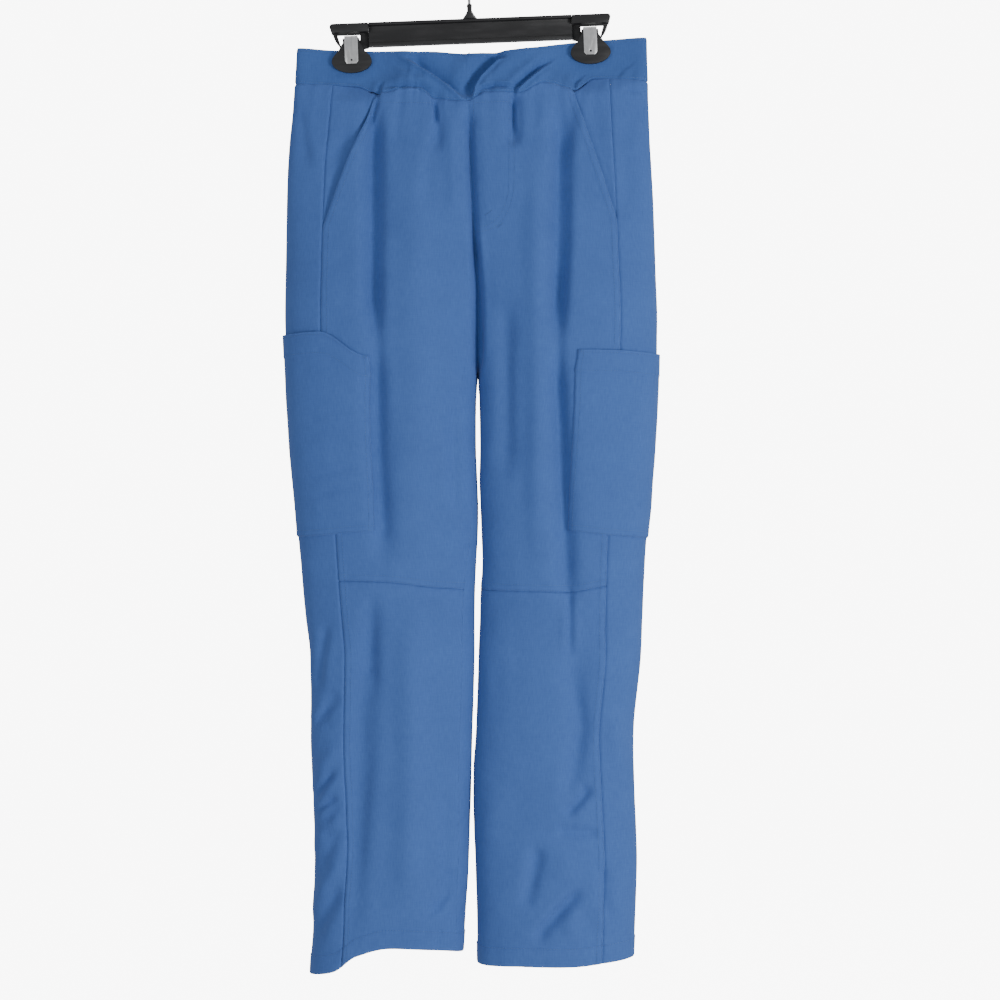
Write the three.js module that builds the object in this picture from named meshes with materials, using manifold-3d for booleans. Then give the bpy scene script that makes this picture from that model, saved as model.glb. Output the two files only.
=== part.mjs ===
// Cargo scrub trousers hung by the waistband from a clip hanger.
// Millimetres, +Z up. The origin is the inside top of the hanger's hook and the front faces -Y.
// Left and right are as seen from the front.
import * as THREE from "three";
import { mergeVertices } from "three/addons/utils/BufferGeometryUtils.js";
import Module from "manifold-3d";

const wasm = await Module();
wasm.setup();

const LEFT = -1;
const RIGHT = 1;
const SIDES = [
  { side: LEFT, name: "left" },
  { side: RIGHT, name: "right" },
];

// Cloth thicknesses and the gap at each seam
const CLOTH = 1.6;
const BAND_CLOTH = 2.6;
const SEAM_GAP = 0.3;
const HALF_GAP = SEAM_GAP / 2;

// Grid of the cloth walls
const FRONT_COLUMNS = 14;
const BACK_COLUMNS = 12;
const BAND_ROWS = 3;
const ARC_SAMPLES = 40;
const TANGENT_STEP = 0.6;
const NORMAL_STEP = 0.5;
const ROW_START_X = 100; // a row's height is first looked up this far to the side
// Rows of the panels between the lines that run across them, from the band down
const ROW_BANDS = [
  { from: "seam", to: "slashFoot", rows: 5 },
  { from: "slashFoot", to: "cargoTop", rows: 4 },
  { from: "cargoTop", to: "cargoFoot", rows: 7 },
  { from: "cargoFoot", to: "knee", rows: 2 },
  { from: "knee", to: "hem", rows: 12 },
];
const rowsDownTo = (line) => {
  const last = ROW_BANDS.findIndex((band) => band.to === line);
  return ROW_BANDS.slice(0, last + 1).reduce((sum, band) => sum + band.rows, 0);
};
const SLASH_ROW = rowsDownTo("slashFoot");
const CARGO_TOP_ROW = rowsDownTo("cargoTop");
const CARGO_FOOT_ROW = rowsDownTo("cargoFoot");
const KNEE_ROW = rowsDownTo("knee");
const HEM_ROW = rowsDownTo("hem");
// Side panels and backs bend round the leg, so each is made in three lengths
const LENGTHS = [
  { name: "hip", first: 0, last: CARGO_TOP_ROW },
  { name: "thigh", first: CARGO_TOP_ROW, last: KNEE_ROW },
  { name: "shin", first: KNEE_ROW, last: HEM_ROW },
];
// Side panel columns, packed closer at the fold of the silhouette
const SIDE_STEPS = [-1, -0.62, -0.35, -0.156, 0, 0.156, 0.35, 0.62, 1];

// The trousers' section from waist to hem: both silhouette edges, the distance from there to the side
// panel's seams, how far the front and back stand out, and the power that squares the section
const BODY_ROWS = [
  { z: -95, left: -187, right: 198, seam: 42, front: 10, back: 12, power: 0.55 },
  { z: -140, left: -189, right: 199, seam: 42, front: 15, back: 16, power: 0.6 },
  { z: -170, left: -191.5, right: 200, seam: 42, front: 19, back: 20, power: 0.65 },
  { z: -256, left: -198, right: 204.5, seam: 42, front: 32, back: 34, power: 0.72 },
  { z: -344, left: -200, right: 208, seam: 42, front: 40, back: 44, power: 0.78 },
  { z: -410, left: -201, right: 210, seam: 42, front: 43, back: 47, power: 0.8 },
  { z: -476, left: -198.5, right: 209, seam: 43, front: 43, back: 46, power: 0.8 },
  { z: -542, left: -195, right: 205.5, seam: 43, front: 42, back: 43, power: 0.8 },
  { z: -608, left: -189.5, right: 201.5, seam: 44, front: 40, back: 41, power: 0.8 },
  { z: -674, left: -184, right: 196, seam: 43, front: 39, back: 39, power: 0.8 },
  { z: -740, left: -178, right: 193.5, seam: 42, front: 38, back: 38, power: 0.8 },
  { z: -785, left: -173, right: 191.5, seam: 40, front: 37, back: 37, power: 0.8 },
  { z: -872, left: -173.5, right: 184, seam: 39, front: 37, back: 37, power: 0.8 },
  { z: -938, left: -170.5, right: 186, seam: 38, front: 38, back: 38, power: 0.8 },
  { z: -1004, left: -168.5, right: 188, seam: 37, front: 38, back: 39, power: 0.8 },
  { z: -1070, left: -169.5, right: 185, seam: 36, front: 40, back: 40, power: 0.8 },
  { z: -1135, left: -173, right: 182.5, seam: 36, front: 41, back: 41, power: 0.8 },
];

// The centre seam above the crotch
const CENTRE_ROWS = [
  { z: -95, x: 2 },
  { z: -168, x: 1.5 },
  { z: -279, x: 4 },
  { z: -334, x: 8.5 },
  { z: -388, x: 12 },
  { z: -468, x: 12 },
];

// The legs' inner edges below the crotch, and how far the left inseam is turned to the front
const CROTCH_Z = -468;
const INNER_ROWS = [
  { z: -468, left: 11.7, right: 12.3, inseam: 0 },
  { z: -500, left: 9.3, right: 14.3, inseam: 1 },
  { z: -542, left: 10, right: 14.2, inseam: 2 },
  { z: -587, left: 11.8, right: 13.2, inseam: 4 },
  { z: -620, left: 12.9, right: 14.4, inseam: 7 },
  { z: -674, left: 11, right: 16.3, inseam: 10 },
  { z: -718, left: 9, right: 14.3, inseam: 13 },
  { z: -785, left: 8.8, right: 12, inseam: 14 },
  { z: -872, left: 6.2, right: 8.8, inseam: 14 },
  { z: -905, left: 5.2, right: 6.8, inseam: 14 },
  { z: -938, left: 4.2, right: 6.8, inseam: 13 },
  { z: -1026, left: 1, right: 9.8, inseam: 11 },
  { z: -1092, left: -3.3, right: 11, inseam: 9 },
  { z: -1135, left: -6, right: 11, inseam: 8 },
];

// How far each half's section turns, in degrees: 90 runs straight on at the centre seam, and 180 comes
// back to mid depth, as round a leg
const TURN_ROWS = [
  { z: -95, front: 90, back: 90 },
  { z: -168, front: 92, back: 90 },
  { z: -250, front: 104, back: 97 },
  { z: -310, front: 124, back: 108 },
  { z: -360, front: 143, back: 126 },
  { z: -410, front: 160, back: 146 },
  { z: -450, front: 171, back: 163 },
  { z: -468, front: 180, back: 180 },
];
const FULL_TURN = 180;

// Lines that run across the cloth, by x: the waist's top, the band's seam, the foot of the slash pockets,
// the cargo pockets' top and foot, the knee seam and the hems
const TOP_ROWS = [
  { x: -190, front: -110, back: -111 },
  { x: -130, front: -113.5, back: -115 },
  { x: -90, front: -114, back: -117 },
  { x: 0, front: -117, back: -119 },
  { x: 68, front: -111.5, back: -113 },
  { x: 102, front: -106, back: -108 },
  { x: 135, front: -102.7, back: -104 },
  { x: 200, front: -98.3, back: -99.3 },
];
const BAND_SEAM_ROWS = [
  { x: -192, front: -150, back: -150 },
  { x: -120, front: -153, back: -153 },
  { x: -97, front: -161, back: -154 },
  { x: -60, front: -157, back: -156 },
  { x: -33, front: -168, back: -158 },
  { x: 0, front: -171, back: -158 },
  { x: 20, front: -161, back: -157 },
  { x: 57, front: -162, back: -154 },
  { x: 86, front: -150, back: -152 },
  { x: 119, front: -157, back: -150 },
  { x: 140, front: -144, back: -148 },
  { x: 200, front: -147, back: -147 },
];
const POCKET_ROWS = [
  { x: -201, slashFoot: -312, cargoTop: -428, cargoFoot: -651 },
  { x: -160, slashFoot: -312, cargoTop: -426, cargoFoot: -648 },
  { x: -110, slashFoot: -312, cargoTop: -452, cargoFoot: -644 },
  { x: 0, slashFoot: -308, cargoTop: -450, cargoFoot: -644 },
  { x: 105, slashFoot: -303, cargoTop: -446, cargoFoot: -643 },
  { x: 150, slashFoot: -303, cargoTop: -446, cargoFoot: -647 },
  { x: 210, slashFoot: -303, cargoTop: -449, cargoFoot: -652 },
];
const KNEE_ROWS = [
  { x: -184, z: -697 },
  { x: -96, z: -698 },
  { x: -30, z: -705 },
  { x: 36, z: -708 },
  { x: 113, z: -709 },
  { x: 150, z: -703 },
  { x: 197, z: -700 },
];
const HEM_ROWS = [
  { x: -173, front: -1130, back: -1130 },
  { x: -145, front: -1123, back: -1126 },
  { x: -120, front: -1105, back: -1118 },
  { x: -84, front: -1096, back: -1111 },
  { x: -35, front: -1099, back: -1107 },
  { x: -5, front: -1105, back: -1105 },
  { x: 11, front: -1118, back: -1118 },
  { x: 60, front: -1116, back: -1114 },
  { x: 110, front: -1116, back: -1112 },
  { x: 150, front: -1113, back: -1111 },
  { x: 183, front: -1110, back: -1110 },
];

// Folds of the cloth, each along a line: depth below nought is a valley, and spread its half width
const FOLDS = [
  { face: "front", x1: -103, z1: -150, x2: -101, z2: -450, depth: -14, spread: 10 },
  { face: "front", x1: -101, z1: -420, x2: -88, z2: -690, depth: -9, spread: 13 },
  { face: "front", x1: -104, z1: -700, x2: -128, z2: -1050, depth: -8, spread: 14 },
  { face: "front", x1: -60, z1: -190, x2: -50, z2: -640, depth: 4, spread: 20 },
  { face: "front", x1: -60, z1: -700, x2: -62, z2: -1080, depth: 4, spread: 18 },
  { face: "front", x1: -13, z1: -1010, x2: -36, z2: -1060, depth: -4, spread: 8 },
  { face: "front", x1: -33, z1: -150, x2: -32, z2: -232, depth: -4, spread: 6 },
  { face: "front", x1: 2, z1: -165, x2: 9, z2: -330, depth: -7, spread: 8 },
  { face: "front", x1: 52, z1: -158, x2: 50, z2: -226, depth: -7, spread: 8 },
  { face: "front", x1: 104, z1: -160, x2: 97, z2: -450, depth: -14, spread: 10 },
  { face: "front", x1: 96, z1: -420, x2: 111, z2: -745, depth: -11, spread: 11 },
  { face: "front", x1: 74, z1: -200, x2: 76, z2: -700, depth: 4, spread: 12 },
  { face: "front", x1: 42, z1: -380, x2: 44, z2: -600, depth: -5, spread: 10 },
  { face: "front", x1: 119, z1: -750, x2: 122, z2: -950, depth: -6, spread: 16 },
  { face: "front", x1: 94, z1: -966, x2: 146, z2: -973, depth: -3, spread: 7 },
  { face: "front", x1: 128, z1: -1028, x2: 70, z2: -1092, depth: -5, spread: 8 },
  { face: "front", x1: 80, z1: -985, x2: 62, z2: -1056, depth: -4, spread: 8 },
  { face: "front", x1: 136, z1: -918, x2: 106, z2: -955, depth: -4, spread: 7 },
  { face: "front", x1: -160, z1: -860, x2: -142, z2: -815, depth: -3, spread: 7 },
  { face: "front", x1: -160, z1: -985, x2: -140, z2: -930, depth: -3, spread: 7 },
  { face: "back", x1: -104, z1: -150, x2: -96, z2: -420, depth: -12, spread: 11 },
  { face: "back", x1: -94, z1: -400, x2: -108, z2: -760, depth: -8, spread: 14 },
  { face: "back", x1: -56, z1: -180, x2: -48, z2: -600, depth: 5, spread: 19 },
  { face: "back", x1: -44, z1: -640, x2: -62, z2: -1000, depth: -6, spread: 13 },
  { face: "back", x1: -110, z1: -800, x2: -96, z2: -1090, depth: 5, spread: 15 },
  { face: "back", x1: -16, z1: -155, x2: -12, z2: -262, depth: -5, spread: 7 },
  { face: "back", x1: 26, z1: -155, x2: 30, z2: -240, depth: -6, spread: 7 },
  { face: "back", x1: 108, z1: -150, x2: 98, z2: -470, depth: -13, spread: 11 },
  { face: "back", x1: 99, z1: -450, x2: 116, z2: -820, depth: -8, spread: 13 },
  { face: "back", x1: 66, z1: -210, x2: 62, z2: -660, depth: 5, spread: 17 },
  { face: "back", x1: 54, z1: -700, x2: 70, z2: -1040, depth: -6, spread: 12 },
  { face: "back", x1: 130, z1: -830, x2: 112, z2: -1085, depth: 4, spread: 14 },
];
const FOLD_ENDS = 0.22; // share of a fold's length over which it fades at each end
const EDGE_FADE = 24; // folds die out this near the silhouette and the inseam

// The slack front of the band leans back between the clips, in a V that closes at its seam
const BAND_DENT = { x: 2, zTop: -116, zFoot: -174, halfWidth: 62, depth: 7 };

// Slash pockets: the opening leaves the side seam at the foot and is this far from it at the band
const SLASH = {
  left: { bandZ: -161, foot: -312, atBand: 50, gape: 4 },
  right: { bandZ: -157, foot: -303, atBand: 41, gape: 1.5 },
};
const FACING_COLUMNS = 3; // in the mouth
const FACING_UNDERLAP = 2; // and this many of the front's columns below it
const FACING_DEPTH = CLOTH + 0.5;
const FACING_FOOT = 0.12; // it stops this share of a row above the foot of the opening
const GAPE_SHARE = 0.22; // the front stands away over this share of its width

// Cargo pockets, on the points of the panels below them
const CARGO_COLUMNS = { front: 4, back: 3 };
const CARGO_LIFT = 0.5;
const CARGO_BULGE = 2.6;

// Hanger, in its own upright frame with the hook's inside top at the origin
const TILT = THREE.MathUtils.degToRad(2.2);
const CLIP_X = 131.75;
const BAR = { top: -78, foot: -104, end: 112.2, web: 3, flange: 10, flangeHeight: 3, draft: 1 };
// The neck on the bar's middle: a cone, a throat and a small knob, bored for the hook's shank
const BORE = { radius: 1.9, foot: -74 };
const NECK_ROWS = [
  { radius: 0, z: -78.4 },
  { radius: 9, z: -78.4 },
  { radius: 7.2, z: -76 },
  { radius: 4.5, z: -72 },
  { radius: 2.7, z: -68.5 },
  { radius: 2.7, z: -64.6 },
  { radius: 3, z: -63.2 },
  { radius: 2.8, z: -61.8 },
  { radius: 2.3, z: -61 },
  { radius: BORE.radius, z: -61 },
  { radius: BORE.radius, z: BORE.foot },
  { radius: 0, z: BORE.foot },
];
const NECK_SIDES = 20;
const WIRE_RADIUS = 1.6;
const WIRE_SIDES = 8;
const WIRE_STEPS = 28;
// The hook's bend runs between two angles and then leans back to the shank
const HOOK = { radius: 20, tipAngle: 205, lastAngle: -50, samples: 17, shankTop: -54, lean: 7, drop: 5.9 };
const FRAME = {
  top: -78.5,
  foot: -88,
  inner: 19.25,
  outer: 23.25,
  corner: 4,
  halfDepth: 6.5,
  neck: 12.4,
  draft: 1.6,
  overlap: 2,
};
const FOOT = { z: -120.5, halfWidth: 22, halfHeight: 12.8, joinZ: -105.5, flare: 1, drop: 2.4 };
const FOOT_SHOULDER = { across: 0.86, up: 0.52 }; // where the neck meets the oval, in shares of its radii
// The see-through window of the frame, outboard and inboard of the steel
const WINDOW = { left: -9.5, right: 9.6, rightFoot: 12, rightTop: 15.6, top: -89, step: -95.3, foot: -101 };
const FOOT_SEGMENTS = 18;
const JAW = { inner: 3.2, outer: 7.2, top: -95.3, neck: 9.2, neckFoot: -100.5 };
const SPRING = { width: 14.7, thickness: 1, face: 7.5, top: -92.6, foot: -123.5, bend: 2.5, chamfer: 3 };
const SPRING_HOLE = { z: -119.5, radius: 1.2 };
const CUT_OVER = 2; // cutters run past what they cut by this much

// Where the jaws press the two layers together
const PINCH = { halfWidth: 31, halfHeight: 21, reach: 2.4, face: BAND_CLOTH + HALF_GAP };

const COLOURS = {
  cloth: "#4d7fb5",
  band: "#4a78ac",
  plastic: "#282828",
  steel: "#cfcfcf",
};

function material(colour, roughness, metalness) {
  return new THREE.MeshStandardMaterial({ color: colour, roughness, metalness });
}

function mix(a, b, share) {
  return a + (b - a) * share;
}

function smooth(share) {
  const t = Math.min(1, Math.max(0, share));
  return t * t * (3 - 2 * t);
}

// A column of a table at a place between its rows, along a cubic through them.
function along(table, key, place, column) {
  const rising = table[1][key] > table[0][key];
  const rows = rising ? table : [...table].reverse();
  const last = rows.length - 1;
  if (place <= rows[0][key]) return rows[0][column];
  if (place >= rows[last][key]) return rows[last][column];
  let i = 0;
  while (place > rows[i + 1][key]) i += 1;
  const slope = (a, b) => (rows[b][column] - rows[a][column]) / (rows[b][key] - rows[a][key]);
  const step = rows[i + 1][key] - rows[i][key];
  const before = i > 0 ? slope(i - 1, i) : slope(i, i + 1);
  const here = slope(i, i + 1);
  const after = i + 1 < last ? slope(i + 1, i + 2) : here;
  const flat = (a, b) => (a * b <= 0 ? 0 : (2 * a * b) / (a + b));
  const m0 = flat(before, here) * step;
  const m1 = flat(here, after) * step;
  const t = (place - rows[i][key]) / step;
  const h = [2 * t ** 3 - 3 * t ** 2 + 1, t ** 3 - 2 * t ** 2 + t, 3 * t ** 2 - 2 * t ** 3, t ** 3 - t ** 2];
  return h[0] * rows[i][column] + h[1] * m0 + h[2] * rows[i + 1][column] + h[3] * m1;
}

// One arc of a half section, from the silhouette round to the centre seam or the inseam.
function arcOf(outer, inner, turn, depth, power) {
  const at = (angle) => [
    outer + ((inner - outer) * (1 - Math.cos(angle))) / (1 - Math.cos(turn)),
    depth * Math.max(0, Math.sin(angle)) ** power,
  ];
  const angles = [0];
  const lengths = [0];
  let from = at(0);
  for (let i = 1; i <= ARC_SAMPLES; i += 1) {
    const angle = (turn * (1 - Math.cos((Math.PI * i) / ARC_SAMPLES))) / 2;
    const to = at(angle);
    angles.push(angle);
    lengths.push(lengths[i - 1] + Math.hypot(to[0] - from[0], to[1] - from[1]));
    from = to;
  }
  const read = (keys, values, place) => {
    const key = Math.min(Math.max(place, 0), keys[ARC_SAMPLES]);
    let i = 0;
    while (i < ARC_SAMPLES - 1 && key > keys[i + 1]) i += 1;
    return mix(values[i], values[i + 1], (key - keys[i]) / (keys[i + 1] - keys[i]));
  };
  return {
    total: lengths[ARC_SAMPLES],
    at: (length) => at(read(lengths, angles, length)),
    lengthAtX: (x) => {
      const cosine = 1 - ((x - outer) / (inner - outer)) * (1 - Math.cos(turn));
      return read(angles, lengths, Math.acos(Math.min(1, Math.max(-1, cosine))));
    },
  };
}

let keptSection = null;

// The half section of one side at a height.
function sectionAt(side, z) {
  if (keptSection && keptSection.side === side && keptSection.z === z) return keptSection;
  const half = side === LEFT ? "left" : "right";
  const below = z <= CROTCH_Z;
  const outer = along(BODY_ROWS, "z", z, half);
  const power = along(BODY_ROWS, "z", z, "power");
  const inner = below
    ? along(INNER_ROWS, "z", z, half)
    : along(CENTRE_ROWS, "z", z, "x") + side * SEAM_GAP;
  const turn = (face) => THREE.MathUtils.degToRad(below ? FULL_TURN : along(TURN_ROWS, "z", z, face));
  const front = arcOf(outer, inner, turn("front"), -along(BODY_ROWS, "z", z, "front"), power);
  const back = arcOf(outer, inner, turn("back"), along(BODY_ROWS, "z", z, "back"), power);
  const seam = along(BODY_ROWS, "z", z, "seam");
  const inseam = below && side === LEFT ? along(INNER_ROWS, "z", z, "inseam") : 0;
  keptSection = {
    side,
    z,
    front,
    back,
    closed: below ? 1 : 0,
    frontSeam: front.lengthAtX(outer - side * seam),
    backSeam: back.lengthAtX(outer - side * seam),
    frontEnd: inseam > 0 ? front.lengthAtX(inner + side * inseam) : front.total,
  };
  return keptSection;
}

// A place round the section: the girth is nought at the silhouette, below it on the front and above it on
// the back, and the back runs on past the inner edge on to the front.
function roundSection(section, girth) {
  if (girth < 0) return { face: "front", length: Math.min(-girth, section.front.total) };
  if (girth <= section.back.total || !section.closed) {
    return { face: "back", length: Math.min(girth, section.back.total) };
  }
  return { face: "front", length: section.front.total - (girth - section.back.total) };
}

function foldHeight(face, x, z) {
  let height = 0;
  for (const fold of FOLDS) {
    if (fold.face !== face) continue;
    const run = Math.hypot(fold.x2 - fold.x1, fold.z2 - fold.z1);
    const dx = (fold.x2 - fold.x1) / run;
    const dz = (fold.z2 - fold.z1) / run;
    const share = ((x - fold.x1) * dx + (z - fold.z1) * dz) / run;
    if (share <= 0 || share >= 1) continue;
    const off = ((x - fold.x1) * dz - (z - fold.z1) * dx) / fold.spread;
    const ends = smooth(share / FOLD_ENDS) * smooth((1 - share) / FOLD_ENDS);
    height += fold.depth * ends * Math.exp(-off * off);
  }
  return height;
}

function bandDent(x, z) {
  const rise = smooth((z - BAND_DENT.zFoot) / (BAND_DENT.zTop - BAND_DENT.zFoot));
  const across = Math.abs(x - BAND_DENT.x) / (BAND_DENT.halfWidth * Math.max(rise, 0.05));
  return -BAND_DENT.depth * rise * smooth(1 - across);
}

// The clips' centres, once the hanger is tilted
function clipCentre(side) {
  const x = side * CLIP_X;
  return {
    x: x * Math.cos(TILT) - FOOT.z * Math.sin(TILT),
    z: x * Math.sin(TILT) + FOOT.z * Math.cos(TILT),
  };
}
const CLIP_CENTRES = [clipCentre(LEFT), clipCentre(RIGHT)];

function pinchShare(x, z) {
  let share = 0;
  for (const clip of CLIP_CENTRES) {
    const far = Math.hypot((x - clip.x) / PINCH.halfWidth, (z - clip.z) / PINCH.halfHeight);
    share = Math.max(share, 1 - smooth((far - 1) / (PINCH.reach - 1)));
  }
  return share;
}

// A point of the cloth's outer face.
function clothPoint(side, girth, z) {
  const section = sectionAt(side, z);
  const { face, length } = roundSection(section, girth);
  const arc = section[face];
  const [x, y] = arc.at(length);
  const a = arc.at(length - TANGENT_STEP);
  const b = arc.at(length + TANGENT_STEP);
  const run = Math.hypot(b[0] - a[0], b[1] - a[1]);
  const turnOut = (face === "front" ? -side : side) / run;
  const normal = [(b[1] - a[1]) * turnOut, -(b[0] - a[0]) * turnOut];
  const nearInseam = section.closed * (1 - smooth((arc.total - length) / EDGE_FADE));
  const fade = smooth(length / EDGE_FADE) * (1 - nearInseam);
  const dent = face === "front" ? bandDent(x, z) : 0;
  const height = foldHeight(face, x, z) * fade + dent;
  const point = new THREE.Vector3(x + normal[0] * height, y + normal[1] * height, z);
  const pinch = pinchShare(point.x, z);
  point.y = mix(point.y, Math.sign(y) * PINCH.face, pinch);
  return point;
}

// The outer point and the outward normal there.
function clothPlace(side, girth, z) {
  const section = sectionAt(side, z);
  const limit = section.closed ? Infinity : section.back.total;
  const lowest = -section.front.total;
  const point = clothPoint(side, girth, z);
  const acrossA = clothPoint(side, Math.max(girth - NORMAL_STEP, lowest), z);
  const acrossB = clothPoint(side, Math.min(girth + NORMAL_STEP, limit), z);
  const down = clothPoint(side, girth, z - NORMAL_STEP).sub(clothPoint(side, girth, z + NORMAL_STEP));
  const normal = acrossB.sub(acrossA).cross(down).normalize();
  return { point, normal: normal.multiplyScalar(side === LEFT ? 1 : -1) };
}

// A closed wall over a grid of places: its outer face is raised by lift, and the inner one is a thickness
// below it.
function wall(grid, thickness, lift = () => 0) {
  const rows = grid.length;
  const columns = grid[0].length;
  const positions = [];
  for (const below of [0, thickness]) {
    grid.forEach((row, j) => {
      row.forEach(({ point, normal }, i) => {
        const raised = lift(i / (columns - 1), j / (rows - 1)) - below;
        positions.push(...point.clone().addScaledVector(normal, raised).toArray());
      });
    });
  }
  const index = [];
  const count = rows * columns;
  const quad = (a, b, c, d) => index.push(a, b, c, a, c, d);
  for (let j = 0; j + 1 < rows; j += 1) {
    for (let i = 0; i + 1 < columns; i += 1) {
      const at = j * columns + i;
      quad(at, at + 1, at + columns + 1, at + columns);
      quad(count + at, count + at + columns, count + at + columns + 1, count + at + 1);
    }
  }
  for (let i = 0; i + 1 < columns; i += 1) {
    const foot = (rows - 1) * columns + i;
    quad(i, count + i, count + i + 1, i + 1);
    quad(foot, foot + 1, count + foot + 1, count + foot);
  }
  for (let j = 0; j + 1 < rows; j += 1) {
    const at = j * columns;
    const end = at + columns - 1;
    quad(at, at + columns, count + at + columns, count + at);
    quad(end, count + end, count + end + columns, end + columns);
  }
  const geometry = new THREE.BufferGeometry();
  geometry.setAttribute("position", new THREE.Float32BufferAttribute(positions, 3));
  geometry.setIndex(index);
  return faceOut(geometry);
}

// Turns every face of a closed geometry outwards, whichever way its grid ran.
function faceOut(geometry) {
  const at = geometry.getAttribute("position");
  const index = geometry.getIndex();
  const corners = [0, 1, 2].map(() => new THREE.Vector3());
  let volume = 0;
  for (let i = 0; i < index.count; i += 3) {
    corners.forEach((corner, k) => corner.fromBufferAttribute(at, index.getX(i + k)));
    volume += corners[0].dot(corners[1].clone().cross(corners[2]));
  }
  if (volume < 0) {
    for (let i = 0; i < index.count; i += 3) {
      const kept = index.getX(i + 1);
      index.setX(i + 1, index.getX(i + 2));
      index.setX(i + 2, kept);
    }
  }
  geometry.computeVertexNormals();
  return geometry;
}

// The heights of the lines across a face at x
function linesAcross(face, x) {
  return {
    seam: along(BAND_SEAM_ROWS, "x", x, face) - HALF_GAP,
    slashFoot: along(POCKET_ROWS, "x", x, "slashFoot"),
    cargoTop: along(POCKET_ROWS, "x", x, "cargoTop"),
    cargoFoot: along(POCKET_ROWS, "x", x, "cargoFoot"),
    knee: along(KNEE_ROWS, "x", x, "z"),
    hem: along(HEM_ROWS, "x", x, face),
  };
}

// The height of a panel's row, so that panels which meet at a seam share its points
function rowHeight(lines, row) {
  let above = 0;
  for (const band of ROW_BANDS) {
    if (row <= above + band.rows) return mix(lines[band.from], lines[band.to], (row - above) / band.rows);
    above += band.rows;
  }
  return lines.hem;
}

// A place on a row. It is found in three passes, because a line's height depends on where it is.
function rowPlace(side, row, girthAt) {
  let z = rowHeight(linesAcross("front", side * ROW_START_X), row);
  let girth = 0;
  for (let pass = 0; pass < 3; pass += 1) {
    girth = girthAt(z);
    const section = sectionAt(side, z);
    const { face, length } = roundSection(section, girth);
    z = rowHeight(linesAcross(face, section[face].at(length)[0]), row);
  }
  return { ...clothPlace(side, girth, z), girth, z };
}

function panelRow(side, shares, row, girthAt) {
  return shares.map((share) => rowPlace(side, row, (z) => girthAt(share, z)));
}

function evenShares(columns) {
  return Array.from({ length: columns + 1 }, (_, i) => i / columns);
}

function rowsBetween(first, last) {
  return Array.from({ length: last - first + 1 }, (_, i) => first + i);
}

// How far the slash opening is from the side seam at a height
function slashReach(half, z) {
  const { foot, atBand, bandZ } = SLASH[half];
  return atBand * Math.max(0, (z - foot) / (bandZ - foot));
}

// Girths of the panels' columns, by their share of the way across
function frontGirth(side, half) {
  return (share, z) => {
    const section = sectionAt(side, z);
    const reach = slashReach(half, z);
    const seamX = section.front.at(section.frontSeam)[0];
    const from = reach > 0 ? section.front.lengthAtX(seamX - side * reach) : section.frontSeam;
    return -mix(from + HALF_GAP, section.frontEnd - HALF_GAP, share);
  };
}

function backGirth(side) {
  return (share, z) => {
    const section = sectionAt(side, z);
    const over = section.front.total - section.frontEnd;
    return mix(section.backSeam + HALF_GAP, section.back.total + over - HALF_GAP, share);
  };
}

function sideGirth(side) {
  return (share, z) => {
    const section = sectionAt(side, z);
    return share * ((share < 0 ? section.frontSeam : section.backSeam) - HALF_GAP);
  };
}

// The part of the pocket's facing that shows in the mouth, from the side seam to the front's edge
function mouthGirth(side, half) {
  const edge = frontGirth(side, half);
  return (share, z) => mix(-(sectionAt(side, z).frontSeam + HALF_GAP), edge(0, z), share);
}

// The grids of one side's panels, rows from the band down
function panelGrids(side, half) {
  const frontShares = evenShares(FRONT_COLUMNS);
  const backShares = evenShares(BACK_COLUMNS);
  const mouthShares = evenShares(FACING_COLUMNS).slice(0, -1);
  const rows = rowsBetween(0, HEM_ROW);
  return {
    front: rows.map((row) => panelRow(side, frontShares, row, frontGirth(side, half))),
    back: rows.map((row) => panelRow(side, backShares, row, backGirth(side))),
    sidePanel: rows.map((row) => panelRow(side, SIDE_STEPS, row, sideGirth(side))),
    mouth: mouthRows().map((row) => panelRow(side, mouthShares, row, mouthGirth(side, half))),
  };
}

// The facing stops just above the foot of the opening, where the mouth has no width left
function mouthRows() {
  return [...rowsBetween(0, SLASH_ROW - 1), SLASH_ROW - FACING_FOOT];
}

// A panel between two of its rows, drawn back by half a gap from each that isn't its own top or hem
function panelPart(grid, first, last) {
  const rows = grid.slice(first, last + 1).map((row) => row.map((place) => ({ ...place })));
  const drawBack = (row, lift) =>
    row.forEach((place) => {
      place.point = place.point.clone().setZ(place.point.z + lift);
    });
  if (first > 0) drawBack(rows[0], -HALF_GAP);
  if (last < HEM_ROW) drawBack(rows[rows.length - 1], HALF_GAP);
  return rows;
}

// The slash pocket's mouth stands open, most at the middle of its length
function gapeOf(half) {
  return (across, down) => {
    const downMouth = (down * KNEE_ROW) / SLASH_ROW;
    if (downMouth >= 1) return 0;
    return SLASH[half].gape * Math.sin(Math.PI * downMouth) * (1 - smooth(across / GAPE_SHARE));
  };
}

// The facing's grid: the mouth's own columns, then the front's first ones, which it runs in below
function facingGrid({ front, mouth }) {
  return mouthRows().map((row, j) => {
    const below = rowsBetween(0, FACING_UNDERLAP).map((column) => betweenRows(front, row, column));
    return [...mouth[j], ...below];
  });
}

// A place between two rows of a panel, on the facets themselves
function betweenRows(grid, row, column) {
  const low = Math.min(Math.floor(row), grid.length - 2);
  const share = row - low;
  const a = grid[low][column];
  const b = grid[low + 1][column];
  return {
    point: a.point.clone().lerp(b.point, share),
    normal: a.normal.clone().lerp(b.normal, share).normalize(),
  };
}

function meanPlace(a, b) {
  return {
    point: a.point.clone().lerp(b.point, 0.5),
    normal: a.normal.clone().add(b.normal).normalize(),
  };
}

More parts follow.
